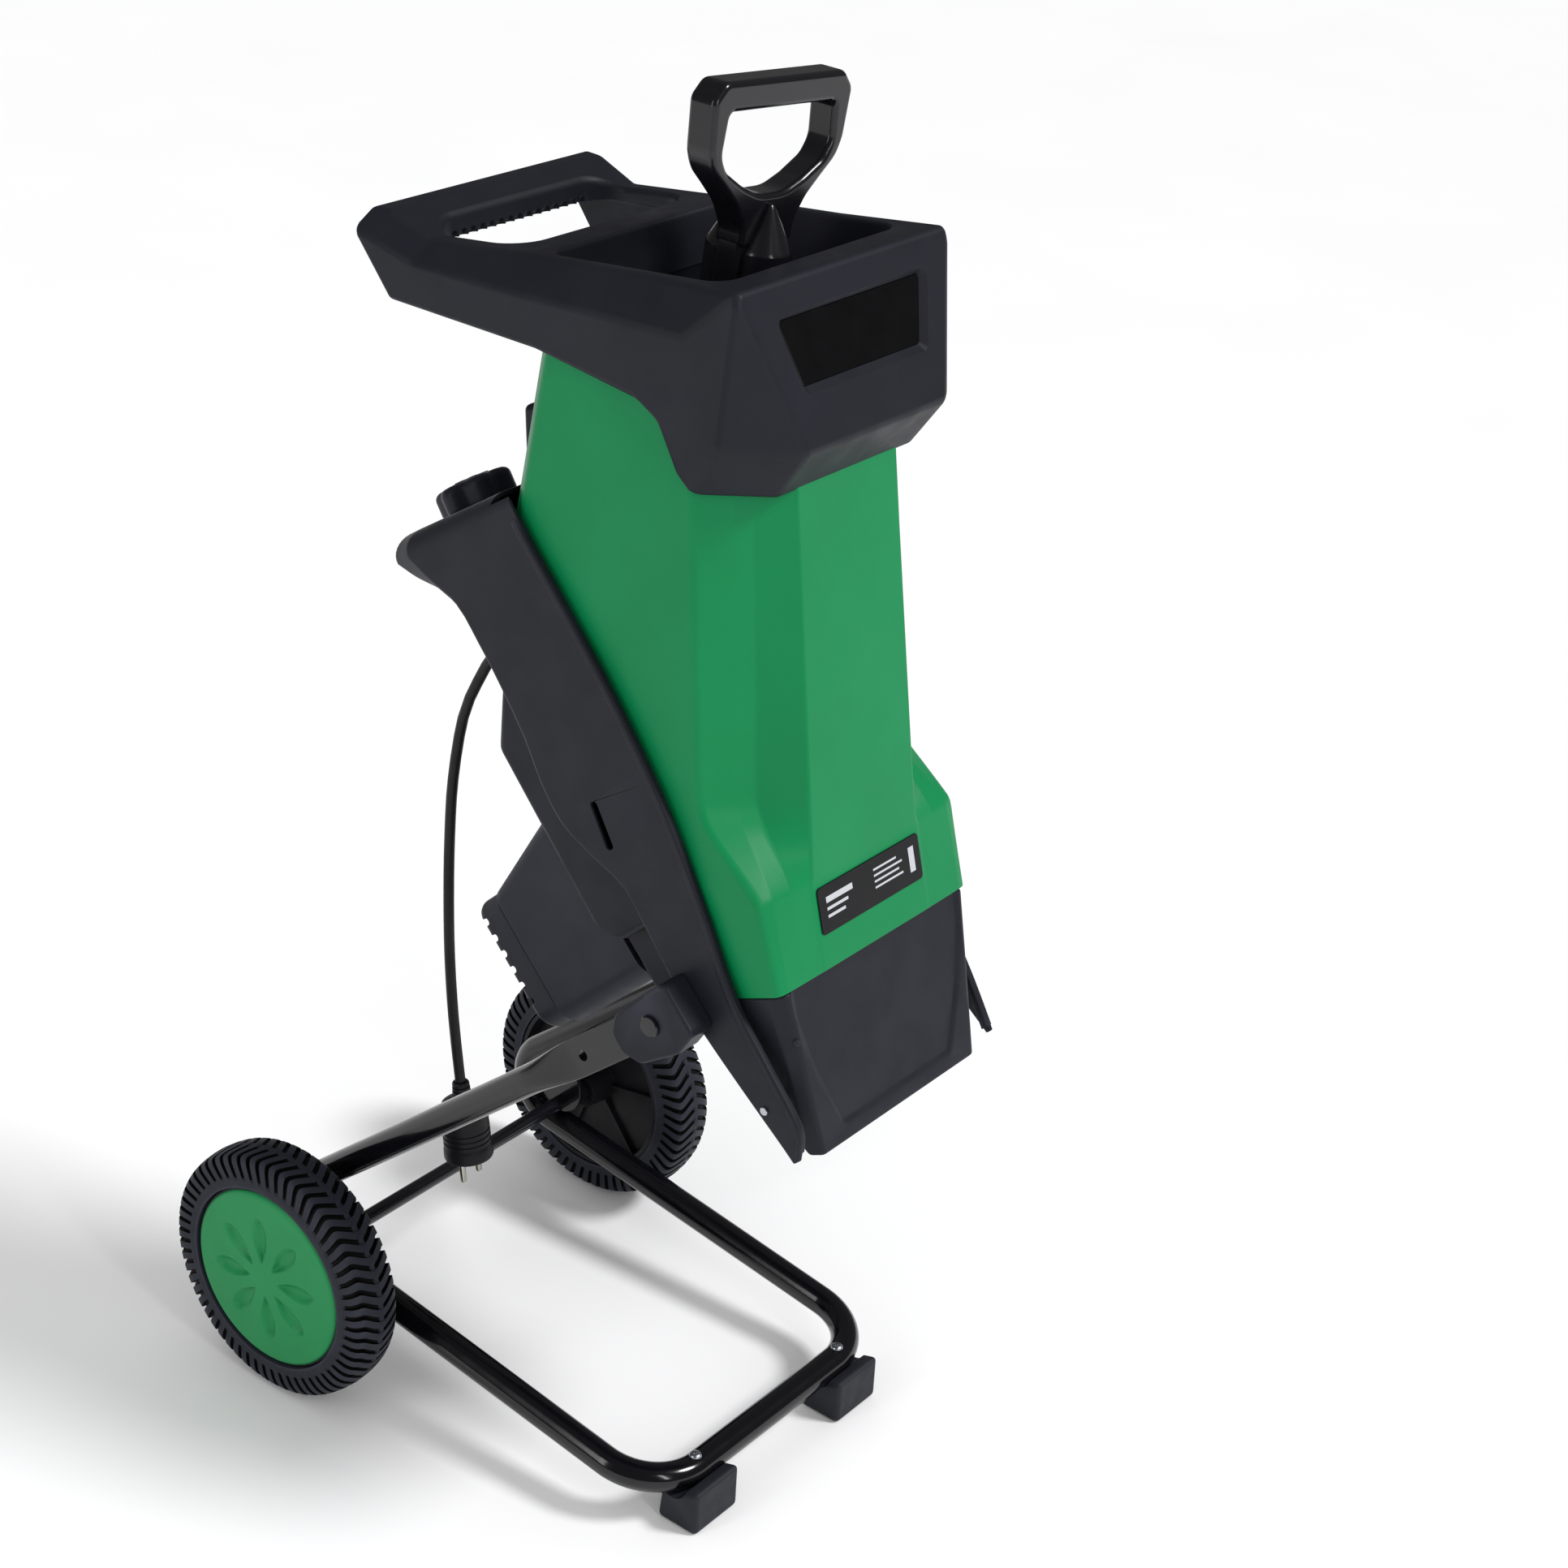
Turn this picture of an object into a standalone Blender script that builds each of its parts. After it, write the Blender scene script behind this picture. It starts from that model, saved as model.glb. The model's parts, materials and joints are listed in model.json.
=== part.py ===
"""Electric wood chipper on a two-wheeled tube stand.

The origin is on the ground under the middle of the machine, AXLE_BEHIND in front of the axle. X
runs across the machine, +Y to the rear (the user's side), +Z up. Lengths below are millimetres and
angles are degrees; MM turns a length into Blender's metres when a mesh is made.

Three frames meet on the axle's centre line, and their y is measured from it:
  stand    level with the ground
  housing  leans back by HOUSING_LEAN; the green housing, hopper and chute cover are drawn in it
  base     tipped by BASE_TILT, so that its local Y runs along the motor shaft (out to the rear)
           and its local Z runs up along the cutter disc
"""
import bpy
import bmesh
from math import acos, atan2, ceil, cos, hypot, pi, radians, sin, tan
from mathutils import Vector

MM = 0.001
FIT = 0.3                   # gap between pieces that touch or slide on each other
WALL = 3.0                  # moulded shell thickness

# Stand
WHEEL_DIAMETER = 200.0
WHEEL_WIDTH = 42.0
OVERALL_WIDTH = 410.0       # over the two wheel caps
TUBE_DIAMETER = 22.0
TUBE_WALL = 1.5
FRAME_HALF = 130.0          # tube centre line to the middle of the machine
FRONT_BAR = (-320.0, 35.5)  # cross bar centre: y, z
REAR_BEND = 34.0            # centre line radius of the bend round the axle
FRONT_BEND = 48.0
AXLE_DIAMETER = 12.0
AXLE_WEB = 1.5              # steel left between the axle hole and the tube
ARM_FLAT = (28.0, 5.0)      # flattened arm end: height, thickness
ARM_FLAT_LENGTH = 105.0
ARM_FLAT_BLEND = 55.0
FOOT_SIZE = (50.0, 36.0, 34.0)
FOOT_INNER = 61.0           # inner side of a foot from the middle
FOOT_FORWARD = 6.0          # foot centre ahead of the bar centre

# Frames
AXLE_BEHIND = 151.7
HOUSING_LEAN = 6.2
BASE_TILT = 45.0

# Base tray, in the base frame (w = out to the rear, u = up along the disc)
BASE_HALF = 116.0
INNER_CUT = BASE_HALF - WALL - 0.4      # half width of the cuts made between the side walls
BACK_W = -445.0             # rear face of the tray's back plate
TRAY_FLOOR_U = 2.0          # lower end of the back plate, above the discharge opening
STEP_HALF = BASE_HALF - 21.0
STEP_W = -383.0
STEP_U = (82.0, 272.0)
PLINTH_HALF = BASE_HALF - 41.0
PLINTH_U = (32.0, 189.0)
ARM_BOLT = (-432.0, 23.5)   # w, u of the bolt that carries the base on the stand
EAR_OUT = FRAME_HALF + 8.0
HINGE = (-463.0, -62.0)     # w, u of the pins that the housing tilts on
HINGE_PIN = 6.0
SEAM_W = -473.0             # housing's lower edge plane inside the tray
KNOB_W = -396.0
KNOB_DIAMETER = 58.0
KNOB_HEIGHT = 20.0
STUD_DIAMETER = 8.0

# Cutting gear and motor, in the base frame
DISC_U = 75.0
DISC_DIAMETER = 180.0
DISC_W = (-466.0, -460.0)
BLADE_SIZE = (62.0, 28.0, 5.0)
GEAR_MODULE = 1.5
GEAR_TEETH = 39
PINION_TEETH = 13
GEAR_W = (-434.0, -420.0)
PLATE_THICK = 4.0
MOTOR_FRONT_W = STEP_W + FIT
MOTOR_SPLIT_W = -286.0
MOTOR_END_W = -257.0
STATOR_DIAMETER = 90.0
STATOR_W = (-368.0, -312.0)
ROTOR_DIAMETER = 50.0
SHAFT_DIAMETER = 10.0
SPINDLE_DIAMETER = 16.0

# Green housing and hopper, in the housing frame (heights above the axle)
GREEN_TOP = 745.0           # carries the hopper, and what stands in it, with it
HOPPER_RISE = GREEN_TOP - 745.0     # how far the hopper's own heights below are lifted
GREEN_HALF = BASE_HALF - 9.0
BACK_AT_610 = -181.0        # y of the housing's back at height 610
BACK_SLOPE = -0.243
COLLAR_FIT = 0.4            # play between the hopper collar and the housing inside it
THROAT_HALF = 50.0
THROAT_Y = (-318.0, -272.0)
CHUTE_BOTTOM = 204.0
COVER_HALF = (GREEN_HALF, GREEN_HALF - 12.5)    # chute cover's half width: top and bottom

# Pusher, hanging in the hopper mouth
PUSHER_SOLE = (-10.431, -212.0, 725.461)    # foot of the stem, in the mouth of the feed chute
PUSHER_LEAN = 5.0
PUSHER_LENGTH = 200.0
PUSHER_AT = (PUSHER_SOLE[0] + PUSHER_LENGTH * sin(radians(PUSHER_LEAN)),
             PUSHER_SOLE[1] + HOPPER_RISE * sin(radians(HOUSING_LEAN)),
             PUSHER_SOLE[2] + PUSHER_LENGTH * cos(radians(PUSHER_LEAN))
             + HOPPER_RISE * cos(radians(HOUSING_LEAN)))

# Power lead
CORD_DIAMETER = 8.0
GLAND = (-45.0, 303.0)      # x, u on the tray's back plate

AXLE_Z = WHEEL_DIAMETER / 2
CENTRE_DISTANCE = GEAR_MODULE * (GEAR_TEETH + PINION_TEETH) / 2
MOTOR_U = DISC_U + CENTRE_DISTANCE

for old in list(bpy.data.objects):
    bpy.data.objects.remove(old)


# Materials

def material(name, colour, roughness, metallic=0.0):
    """A Principled material; colour is an sRGB hex value."""
    mat = bpy.data.materials.new(name)
    mat.use_nodes = True
    channels = [int(colour[i:i + 2], 16) / 255 for i in (0, 2, 4)]
    linear = [c / 12.92 if c <= 0.04045 else ((c + 0.055) / 1.055) ** 2.4 for c in channels]
    shader = mat.node_tree.nodes["Principled BSDF"]
    shader.inputs["Base Color"].default_value = (*linear, 1)
    shader.inputs["Roughness"].default_value = roughness
    shader.inputs["Metallic"].default_value = metallic
    return mat


GREEN = material("green_abs", "12965A", 0.42)
SLATE = material("slate_black_pp", "2A2B33", 0.55)
BLACK = material("black_pa", "141416", 0.5)
RUBBER = material("black_rubber", "18181B", 0.75)
CAP_GREEN = material("cap_green_pp", "2C9058", 0.4)
ENAMEL = material("black_enamel", "0C0C10", 0.2, 0.1)
ZINC = material("zinc_plated_steel", "B9BCC2", 0.35, 1.0)
STEEL = material("tool_steel", "8F9298", 0.3, 1.0)
ALUMINIUM = material("cast_aluminium", "A9ACB0", 0.5, 1.0)
COPPER = material("copper_winding", "B5642F", 0.4, 1.0)
GLOSS = material("gloss_black_acrylic", "060607", 0.08)
LABEL = material("label_film", "0E0E10", 0.3)
RED = material("red_button", "C4201E", 0.4)
START_GREEN = material("green_button", "1E9A45", 0.4)


# Frames

def frame(name, parent=None, at=(0, 0, 0), turn=(0, 0, 0)):
    empty = bpy.data.objects.new(name, None)
    bpy.context.scene.collection.objects.link(empty)
    empty.parent = parent or GROUND
    empty.location = [c * MM for c in at]
    empty.rotation_euler = [radians(a) for a in turn]
    return empty


GROUND = None
GROUND = frame("ground_under_axle", at=(0, AXLE_BEHIND, 0))
STAND = frame("stand_frame_axes", at=(0, 0, AXLE_Z))
HOUSING = frame("housing_axes", at=(0, 0, AXLE_Z), turn=(-HOUSING_LEAN, 0, 0))
BASE = frame("base_axes", at=(0, 0, AXLE_Z), turn=(-BASE_TILT, 0, 0))
DISC_AXIS = frame("disc_axis", BASE, (0, 0, DISC_U), (-90, 0, 0))
MOTOR_AXIS = frame("motor_axis", BASE, (0, 0, MOTOR_U), (-90, 0, 0))
TILT_AXIS = frame("tilt_axis", BASE, (0, *HINGE))
PUSHER_AXIS = frame("pusher_axis", None, PUSHER_AT, (0, PUSHER_LEAN, 0))


def base_to_housing(w, u):
    """Base-frame (w, u) as the housing frame's (y, z)."""
    turn = radians(BASE_TILT - HOUSING_LEAN)
    return w * cos(turn) + u * sin(turn), u * cos(turn) - w * sin(turn)


def back_y(z):
    """The housing's back face at height z."""
    return BACK_AT_610 + BACK_SLOPE * (z - 610.0)


# Mesh helpers; all take millimetres

def make(name, verts, faces, mat, parent, hidden=False, smooth=35.0):
    """One object from points and faces, with its normals turned out."""
    mesh = bpy.data.meshes.new(name)
    mesh.from_pydata([[c * MM for c in v] for v in verts], [], faces)
    bm = bmesh.new()
    bm.from_mesh(mesh)
    bmesh.ops.recalc_face_normals(bm, faces=bm.faces)
    bmesh.ops.triangulate(bm, faces=[f for f in bm.faces if len(f.verts) > 4])
    bmesh.ops.connect_verts_nonplanar(bm, angle_limit=radians(0.2), faces=bm.faces)
    bm.to_mesh(mesh)
    bm.free()
    mesh.materials.append(mat)
    mesh.shade_smooth()
    mesh.set_sharp_from_angle(angle=radians(smooth))
    obj = bpy.data.objects.new(name, mesh)
    bpy.context.scene.collection.objects.link(obj)
    obj.parent = parent or GROUND
    if hidden:
        obj.hide_render = True
        obj.display_type = "WIRE"
    return obj


def loft(name, rings, mat, parent, hidden=False, closed=False):
    """A skin through rings of equal length; the ends are capped, or joined when closed."""
    count = len(rings[0])
    verts = [p for ring in rings for p in ring]
    faces = []
    for k in range(len(rings) if closed else len(rings) - 1):
        low = k * count
        high = (k + 1) % len(rings) * count
        for i in range(count):
            j = (i + 1) % count
            faces.append((low + i, low + j, high + j, high + i))
    if not closed:
        faces.append(tuple(range(count)))
        faces.append(tuple(range(len(verts) - count, len(verts))))
    return make(name, verts, faces, mat, parent, hidden)


def prism(name, outline, axis, low, high, mat, parent, hidden=False):
    """An outline in the plane across an axis, drawn out from low to high along it."""
    def place(a, b, c):
        return {"x": (c, a, b), "y": (a, c, b), "z": (a, b, c)}[axis]
    rings = [[place(a, b, c) for a, b in outline] for c in (low, high)]
    return loft(name, rings, mat, parent, hidden)


def block(name, x, y, z, mat, parent, hidden=False):
    """A box between (low, high) pairs."""
    outline = [(x[0], y[0]), (x[1], y[0]), (x[1], y[1]), (x[0], y[1])]
    return prism(name, outline, "z", z[0], z[1], mat, parent, hidden)


def circle(radius, sides, at=(0.0, 0.0), start=0.0):
    return [(at[0] + radius * cos(start + 2 * pi * i / sides),
             at[1] + radius * sin(start + 2 * pi * i / sides)) for i in range(sides)]


def rounded(outline, radius, steps=3):
    """The outline with each corner turned into an arc."""
    result = []
    count = len(outline)
    for i, corner in enumerate(outline):
        before = Vector(outline[i - 1]) - Vector(corner)
        after = Vector(outline[(i + 1) % count]) - Vector(corner)
        opening = acos(max(-1.0, min(1.0, before.normalized().dot(after.normalized()))))
        reach = min(radius / tan(opening / 2), 0.49 * before.length, 0.49 * after.length)
        r = reach * tan(opening / 2)
        bisector = (before.normalized() + after.normalized()).normalized()
        centre = Vector(corner) + bisector * (r / sin(opening / 2))
        first = Vector(corner) + before.normalized() * reach - centre
        last = Vector(corner) + after.normalized() * reach - centre
        start = atan2(first.y, first.x)
        sweep = (atan2(last.y, last.x) - start + pi) % (2 * pi) - pi
        for k in range(steps + 1):
            a = start + sweep * k / steps
            result.append((centre.x + r * cos(a), centre.y + r * sin(a)))
    return result


def rectangle(half_x, y, radius=0.0, steps=3):
    outline = [(-half_x, y[0]), (half_x, y[0]), (half_x, y[1]), (-half_x, y[1])]
    return rounded(outline, radius, steps) if radius else outline


def turned(name, profile, sides, mat, parent, axis="z", hidden=False):
    """A solid of revolution from a closed profile of (distance along the axis, radius)."""
    order = {"z": lambda a, b, c: (a, b, c), "x": lambda a, b, c: (c, a, b),
             "y": lambda a, b, c: (a, c, b)}[axis]
    verts, faces, rows = [], [], []
    for along, radius in profile:
        if radius < 1e-6:
            rows.append([len(verts)])
            verts.append(order(0.0, 0.0, along))
        else:
            rows.append(list(range(len(verts), len(verts) + sides)))
            verts += [order(x, y, along) for x, y in circle(radius, sides)]
    for k, row in enumerate(rows):
        other = rows[(k + 1) % len(rows)]
        for i in range(sides):
            j = (i + 1) % sides
            quad = [row[i % len(row)], row[j % len(row)], other[j % len(other)],
                    other[i % len(other)]]
            face = list(dict.fromkeys(quad))
            if len(face) > 2:
                faces.append(face)
    return make(name, verts, faces, mat, parent, hidden)


def rod(name, radius, low, high, mat, parent, axis="z", sides=16, at=(0.0, 0.0), hidden=False):
    return prism(name, circle(radius, sides, at), axis, low, high, mat, parent, hidden)


def swept(name, points, sections, mat, parent, hidden=False):
    """A tube along points; a section lists (sideways, across) offsets from the centre line."""
    rings = []
    side = Vector((1, 0, 0))
    for i, point in enumerate(points):
        ahead = Vector(points[min(i + 1, len(points) - 1)])
        behind = Vector(points[max(i - 1, 0)])
        along = (ahead - behind).normalized()
        side = (side - along * side.dot(along)).normalized()
        across = along.cross(side).normalized()
        rings.append([Vector(point) + side * a + across * b for a, b in sections[i]])
    return loft(name, rings, mat, parent, hidden)


def boolean(obj, operation, *others):
    for other in others:
        mod = obj.modifiers.new(other.name, "BOOLEAN")
        mod.operation = operation
        mod.solver = "EXACT"
        mod.object = other
        other.hide_render = True
        other.display_type = "WIRE"
    return obj


def cut(obj, *cutters):
    return boolean(obj, "DIFFERENCE", *cutters)


def add(obj, *others):
    return boolean(obj, "UNION", *others)


def soften(obj, width, segments=2, angle=28.0):
    mod = obj.modifiers.new("Edge radius", "BEVEL")
    mod.width = width * MM
    mod.segments = segments
    mod.limit_method = "ANGLE"
    mod.angle_limit = radians(angle)
    mod.use_clamp_overlap = True
    return obj


def mirrored(half):
    """Left-half points (negative x first) and then their mirror images in reverse order."""
    return list(half) + [(-p[0], *p[1:]) for p in reversed(half)]


def inset(outline, distance):
    """The outline moved in by a distance along its corner bisectors."""
    area = sum(a[0] * b[1] - b[0] * a[1] for a, b in zip(outline, outline[1:] + outline[:1]))
    turn = 1.0 if area > 0 else -1.0
    result = []
    count = len(outline)
    for i, p in enumerate(outline):
        before = (Vector(p) - Vector(outline[i - 1])).normalized()
        after = (Vector(outline[(i + 1) % count]) - Vector(p)).normalized()
        normal_a = Vector((-before.y, before.x)) * turn
        normal_b = Vector((-after.y, after.x)) * turn
        middle = (normal_a + normal_b).normalized()
        move = middle * (distance / max(0.3, middle.dot(normal_a)))
        result.append((p[0] + move.x, p[1] + move.y))
    return result


SIDES = (("left", -1.0), ("right", 1.0))


# Stand: one bent tube, axle, wheels and feet

def tangent_corner(centre, radius, start, end):
    """Where the tangents from two points to one circle meet on its far side."""
    def tangent(point, side):
        d = Vector(centre) - Vector(point)
        angle = atan2(d.y, d.x) + side * atan2(radius, (d.length ** 2 - radius ** 2) ** 0.5)
        return Vector((cos(angle), sin(angle)))
    a, b = tangent(start, 1), tangent(end, -1)
    gap = Vector(end) - Vector(start)
    t = (gap.x * b.y - gap.y * b.x) / (a.x * b.y - a.y * b.x)
    return Vector(start) + a * t


def bent_path(corners, radii, step_angle):
    """Points along straight runs joined by arcs of the given radii."""
    points = [Vector(corners[0])]
    for i in range(1, len(corners) - 1):
        corner = Vector(corners[i])
        before = (Vector(corners[i - 1]) - corner).normalized()
        after = (Vector(corners[i + 1]) - corner).normalized()
        opening = acos(before.dot(after))
        r = radii[i - 1]
        reach = r / tan(opening / 2)
        centre = corner + (before + after).normalized() * (r / sin(opening / 2))
        first = corner + before * reach - centre
        axis = before.cross(after).normalized()
        sweep = pi - opening
        steps = ceil(sweep / radians(step_angle))
        for k in range(steps + 1):
            a = sweep * k / steps
            points.append(centre + first * cos(a) - axis.cross(first) * sin(a))
    points.append(Vector(corners[-1]))
    return points


def base_to_world(w, u):
    turn = radians(BASE_TILT)
    return w * cos(turn) + u * sin(turn), u * cos(turn) - w * sin(turn) + AXLE_Z


def stand_path():
    """Centre line of the bent tube, the rear bend's centre, the bolt and the arm's direction."""
    tube_r = TUBE_DIAMETER / 2
    reach = REAR_BEND - tube_r - AXLE_DIAMETER / 2 - FIT - AXLE_WEB
    bend = Vector((4.0, AXLE_Z + (reach ** 2 - 16.0) ** 0.5))
    bolt = Vector(base_to_world(*ARM_BOLT))
    corner = tangent_corner(bend, REAR_BEND, bolt, FRONT_BAR)
    along = (bolt - corner).normalized()
    end = bolt + along * (ARM_FLAT[0] * 0.62)

    def at(side, yz):
        return (side * FRAME_HALF, yz[0], yz[1])
    flats = [end - along * d for d in (0, ARM_FLAT_LENGTH, ARM_FLAT_LENGTH + ARM_FLAT_BLEND * 0.5,
                                       ARM_FLAT_LENGTH + ARM_FLAT_BLEND)]
    corners = [at(-1, end), at(-1, corner), at(-1, FRONT_BAR), at(1, FRONT_BAR), at(1, corner),
               at(1, end)]
    path = bent_path(corners, (REAR_BEND, FRONT_BEND, FRONT_BEND, REAR_BEND), 20.0)
    path[:1] = [Vector(at(-1, p)) for p in flats]
    path[-1:] = [Vector(at(1, p)) for p in reversed(flats)]
    return path, bend, bolt, along


def stand_frame():
    tube_r = TUBE_DIAMETER / 2
    axle_r = AXLE_DIAMETER / 2
    path, bend, bolt, along = stand_path()

    def section(point, shrink, sides):
        travel = min((point - path[0]).length, (point - path[-1]).length)
        blend = min(1.0, max(0.0, (travel - ARM_FLAT_LENGTH) / ARM_FLAT_BLEND))
        half_thick = ARM_FLAT[1] / 2 + (tube_r - ARM_FLAT[1] / 2) * blend - shrink
        half_high = ARM_FLAT[0] / 2 + (tube_r - ARM_FLAT[0] / 2) * blend - shrink
        return [(half_thick * cos(2 * pi * k / sides), half_high * sin(2 * pi * k / sides))
                for k in range(sides)]
    outer = swept("stand_tube", path, [section(p, 0.0, 12) for p in path], ENAMEL, None)
    bore_path = [path[0] + (path[0] - path[1]).normalized() * 2, *path[1:-1],
                 path[-1] + (path[-1] - path[-2]).normalized() * 2]
    bore = swept("stand_tube_bore", bore_path, [section(p, TUBE_WALL, 8) for p in path], ENAMEL,
                 None, hidden=True)
    cut(outer, bore)
    for name, side in SIDES:
        x = side * FRAME_HALF
        gusset = rod("axle_gusset_" + name, REAR_BEND - tube_r + 1.0, x - 2, x + 2, ENAMEL, None,
                     "x", 18, tuple(bend), hidden=True)
        axle_hole = rod("axle_hole_" + name, axle_r + FIT, x - 20, x + 20, ENAMEL, None, "x", 16,
                        (0.0, AXLE_Z), hidden=True)
        bolt_hole = rod("arm_bolt_hole_" + name, 4.0 + FIT, x - 20, x + 20, ENAMEL, None, "x", 12,
                        tuple(bolt), hidden=True)
        spare = bolt - along * 80.0
        spare_hole = rod("arm_spare_hole_" + name, 4.0, x - 20, x + 20, ENAMEL, None, "x", 12,
                         tuple(spare), hidden=True)
        add(outer, gusset)
        cut(outer, axle_hole, bolt_hole, spare_hole)
        foot_x = side * (FOOT_INNER + FOOT_SIZE[0] / 2)
        screw_hole = rod("foot_screw_hole_" + name, 2.0 + FIT, FRONT_BAR[1] - 30,
                         FRONT_BAR[1] + 30, ENAMEL, None, "z", 8, (foot_x, FRONT_BAR[0]),
                         hidden=True)
        cut(outer, screw_hole)


def foot(name, side):
    x = side * (FOOT_INNER + FOOT_SIZE[0] / 2)
    y = FRONT_BAR[0] - FOOT_FORWARD
    half_x, half_y = FOOT_SIZE[0] / 2, FOOT_SIZE[1] / 2
    outline = [(y - half_y, 0.0), (y + half_y, 0.0), (y + half_y - 1.5, FOOT_SIZE[2] - 8),
               (y - half_y + 1.5, FOOT_SIZE[2] + 3)]
    body = prism("foot_" + name, outline, "x", x - half_x, x + half_x, RUBBER, None)
    soften(body, 2.5, 1)
    path = stand_path()[0]
    cradle = swept("foot_cradle_" + name, path, [circle(TUBE_DIAMETER / 2 + 2 * FIT, 16)] * len(path),
                   RUBBER, None, hidden=True)
    bore = rod("foot_bore_" + name, 2.0 + FIT, 12, 60, RUBBER, None, "z", 8, (x, FRONT_BAR[0]),
               hidden=True)
    cut(body, cradle, bore)
    top = FRONT_BAR[1] + TUBE_DIAMETER / 2
    turned("foot_screw_" + name, [
        (14.0, 0.0), (14.0, 2.0), (top + FIT, 2.0), (top + FIT, 4.6), (top + 2.2, 4.2),
        (top + 3.2, 2.4), (top + 3.2, 0.0)], 12, ZINC,
        frame("foot_screw_axis_" + name, None, (x, FRONT_BAR[0], 0)))


def wheel(name, side):
    """Tyre, hub and cap, drawn along x outwards from the middle of the machine."""
    axis = frame("wheel_axis_" + name, None, (0, 0, AXLE_Z), (0, 0, 180 if side < 0 else 0))
    outer = OVERALL_WIDTH / 2
    tyre_out = outer - 2.0
    tyre_in = tyre_out - WHEEL_WIDTH
    radius = WHEEL_DIAMETER / 2
    seat = 73.0
    lugs = 40
    rings = []
    for k in range(lugs * 2):
        angle = pi * k / lugs
        depth = 0.0 if k % 2 == 0 else 3.2
        profile = [(tyre_in, seat), (tyre_in + 1.0, radius * 0.9), (tyre_in + 3.5, radius - 2.5 - depth),
                   (tyre_in + WHEEL_WIDTH / 2, radius - depth * 0.3),
                   (tyre_out - 3.5, radius - 2.5 - depth), (tyre_out - 0.5 - depth * 0.3, radius * 0.9),
                   (tyre_out, radius * 0.8), (tyre_out, seat)]
        rings.append([(x, r * cos(angle), r * sin(angle)) for x, r in profile])
    loft("tyre_" + name, rings, RUBBER, axis, closed=True)

    bore = AXLE_DIAMETER / 2 + FIT
    hub_in = FRAME_HALF + TUBE_DIAMETER / 2 + 11.0
    hub_out = outer - 20.0
    rim = seat - FIT
    rim_end = outer - 4.5 - FIT
    web = tyre_in + WHEEL_WIDTH * 0.35
    profile = [(hub_in, bore), (hub_in, 15.0), (web, 18.0), (web, rim - 5), (tyre_in + 1, rim - 4),
               (tyre_in + 1, rim), (rim_end, rim), (rim_end, rim - 4), (web + 4, rim - 5),
               (web + 4, 18.0), (hub_out, 15.0), (hub_out, bore)]
    turned("wheel_hub_" + name, profile, 28, BLACK, axis, "x")

    cap_r = 71.0
    profile = [(outer - 5.5, 0.0), (outer - 5.5, cap_r - 6), (tyre_out - 2 - 9, cap_r - 6.5),
               (tyre_out - 2 - 9, cap_r - 4.5), (outer - 4.5, cap_r - 4), (outer - 4.5, cap_r),
               (outer - 3.2, cap_r), (outer - 1.2, cap_r - 6), (outer, cap_r * 0.4), (outer, 0.0)]
    turned("wheel_cap_" + name, profile, 32, CAP_GREEN, axis, "x")

    seat_in = FRAME_HALF + 2 + FIT
    step = FRAME_HALF + TUBE_DIAMETER / 2 + 1.0
    turned("axle_spacer_" + name,
           [(seat_in, bore), (seat_in, bore + 0.9), (step, bore + 0.9), (step, 10.0),
            (hub_in - FIT, 10.0), (hub_in - FIT, bore)], 20, BLACK, axis, "x")
    nut = circle(11.0, 6)
    body = prism("axle_nut_" + name, nut, "x", hub_out + FIT, hub_out + 10, ZINC, axis)
    hole = rod("axle_nut_bore_" + name, bore, hub_out - 5, hub_out + 15, ZINC, axis, "x", 16,
               hidden=True)
    cut(body, hole)


def axle():
    half = OVERALL_WIDTH / 2 - 8.5
    bar = turned("axle", [(-half, 0.0), (-half, 5.0), (-half + 1, 6.0), (half - 1, 6.0),
                          (half, 5.0), (half, 0.0)], 20, ENAMEL, STAND, "x")
    return bar


# Base: tray, gear case, sockets for the arms

FRONT_EDGE = ((-102.0, -460.6), (10.4, -488.2), (67.6, -504.8), (139.1, -521.2), (212.7, -530.3),
              (289.8, -534.0), (330.0, -535.0), (372.0, -538.0))
REAR_EDGE = ((-102.0, -459.6), (3.6, BACK_W), (108.8, BACK_W), (180.0, -430.0), (270.0, -440.0),
             (300.0, BACK_W), (330.0, BACK_W), (372.0, -430.0))
TRAY_LEVELS = (-102.0, 3.6, 67.6, 108.8, 139.1, 180.0, 212.7, 270.0, 300.0, 330.0)
END_SLOPE = 0.163           # fall of the tray's top end wall towards the front


def on_edge(edge, u):
    """The edge's w at height u, between its listed points."""
    for (u0, w0), (u1, w1) in zip(edge, edge[1:]):
        if u <= u1:
            return w0 + (w1 - w0) * (u - u0) / (u1 - u0)
    return edge[-1][1]


def end_wall_u(w):
    """Height of the end wall's outer face above the tray, at depth w."""
    return 391.5 + END_SLOPE * (w + 408.0)


def tray_plan(u, half, thick, flare):
    """The tray's outline at height u, from the front to the middle of the back."""
    front = on_edge(FRONT_EDGE, u) - 30.0 * thick
    rear = on_edge(REAR_EDGE, u) - thick
    back = min(BACK_W, on_edge(REAR_EDGE, u)) - thick
    return [(-half, front), (-half, rear), (-half + 9, rear + 26 * flare),
            (-half + 26, back + 37 * flare), (-half + 58, back + 66 * flare), (0.0, back + 82 * flare)]


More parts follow.
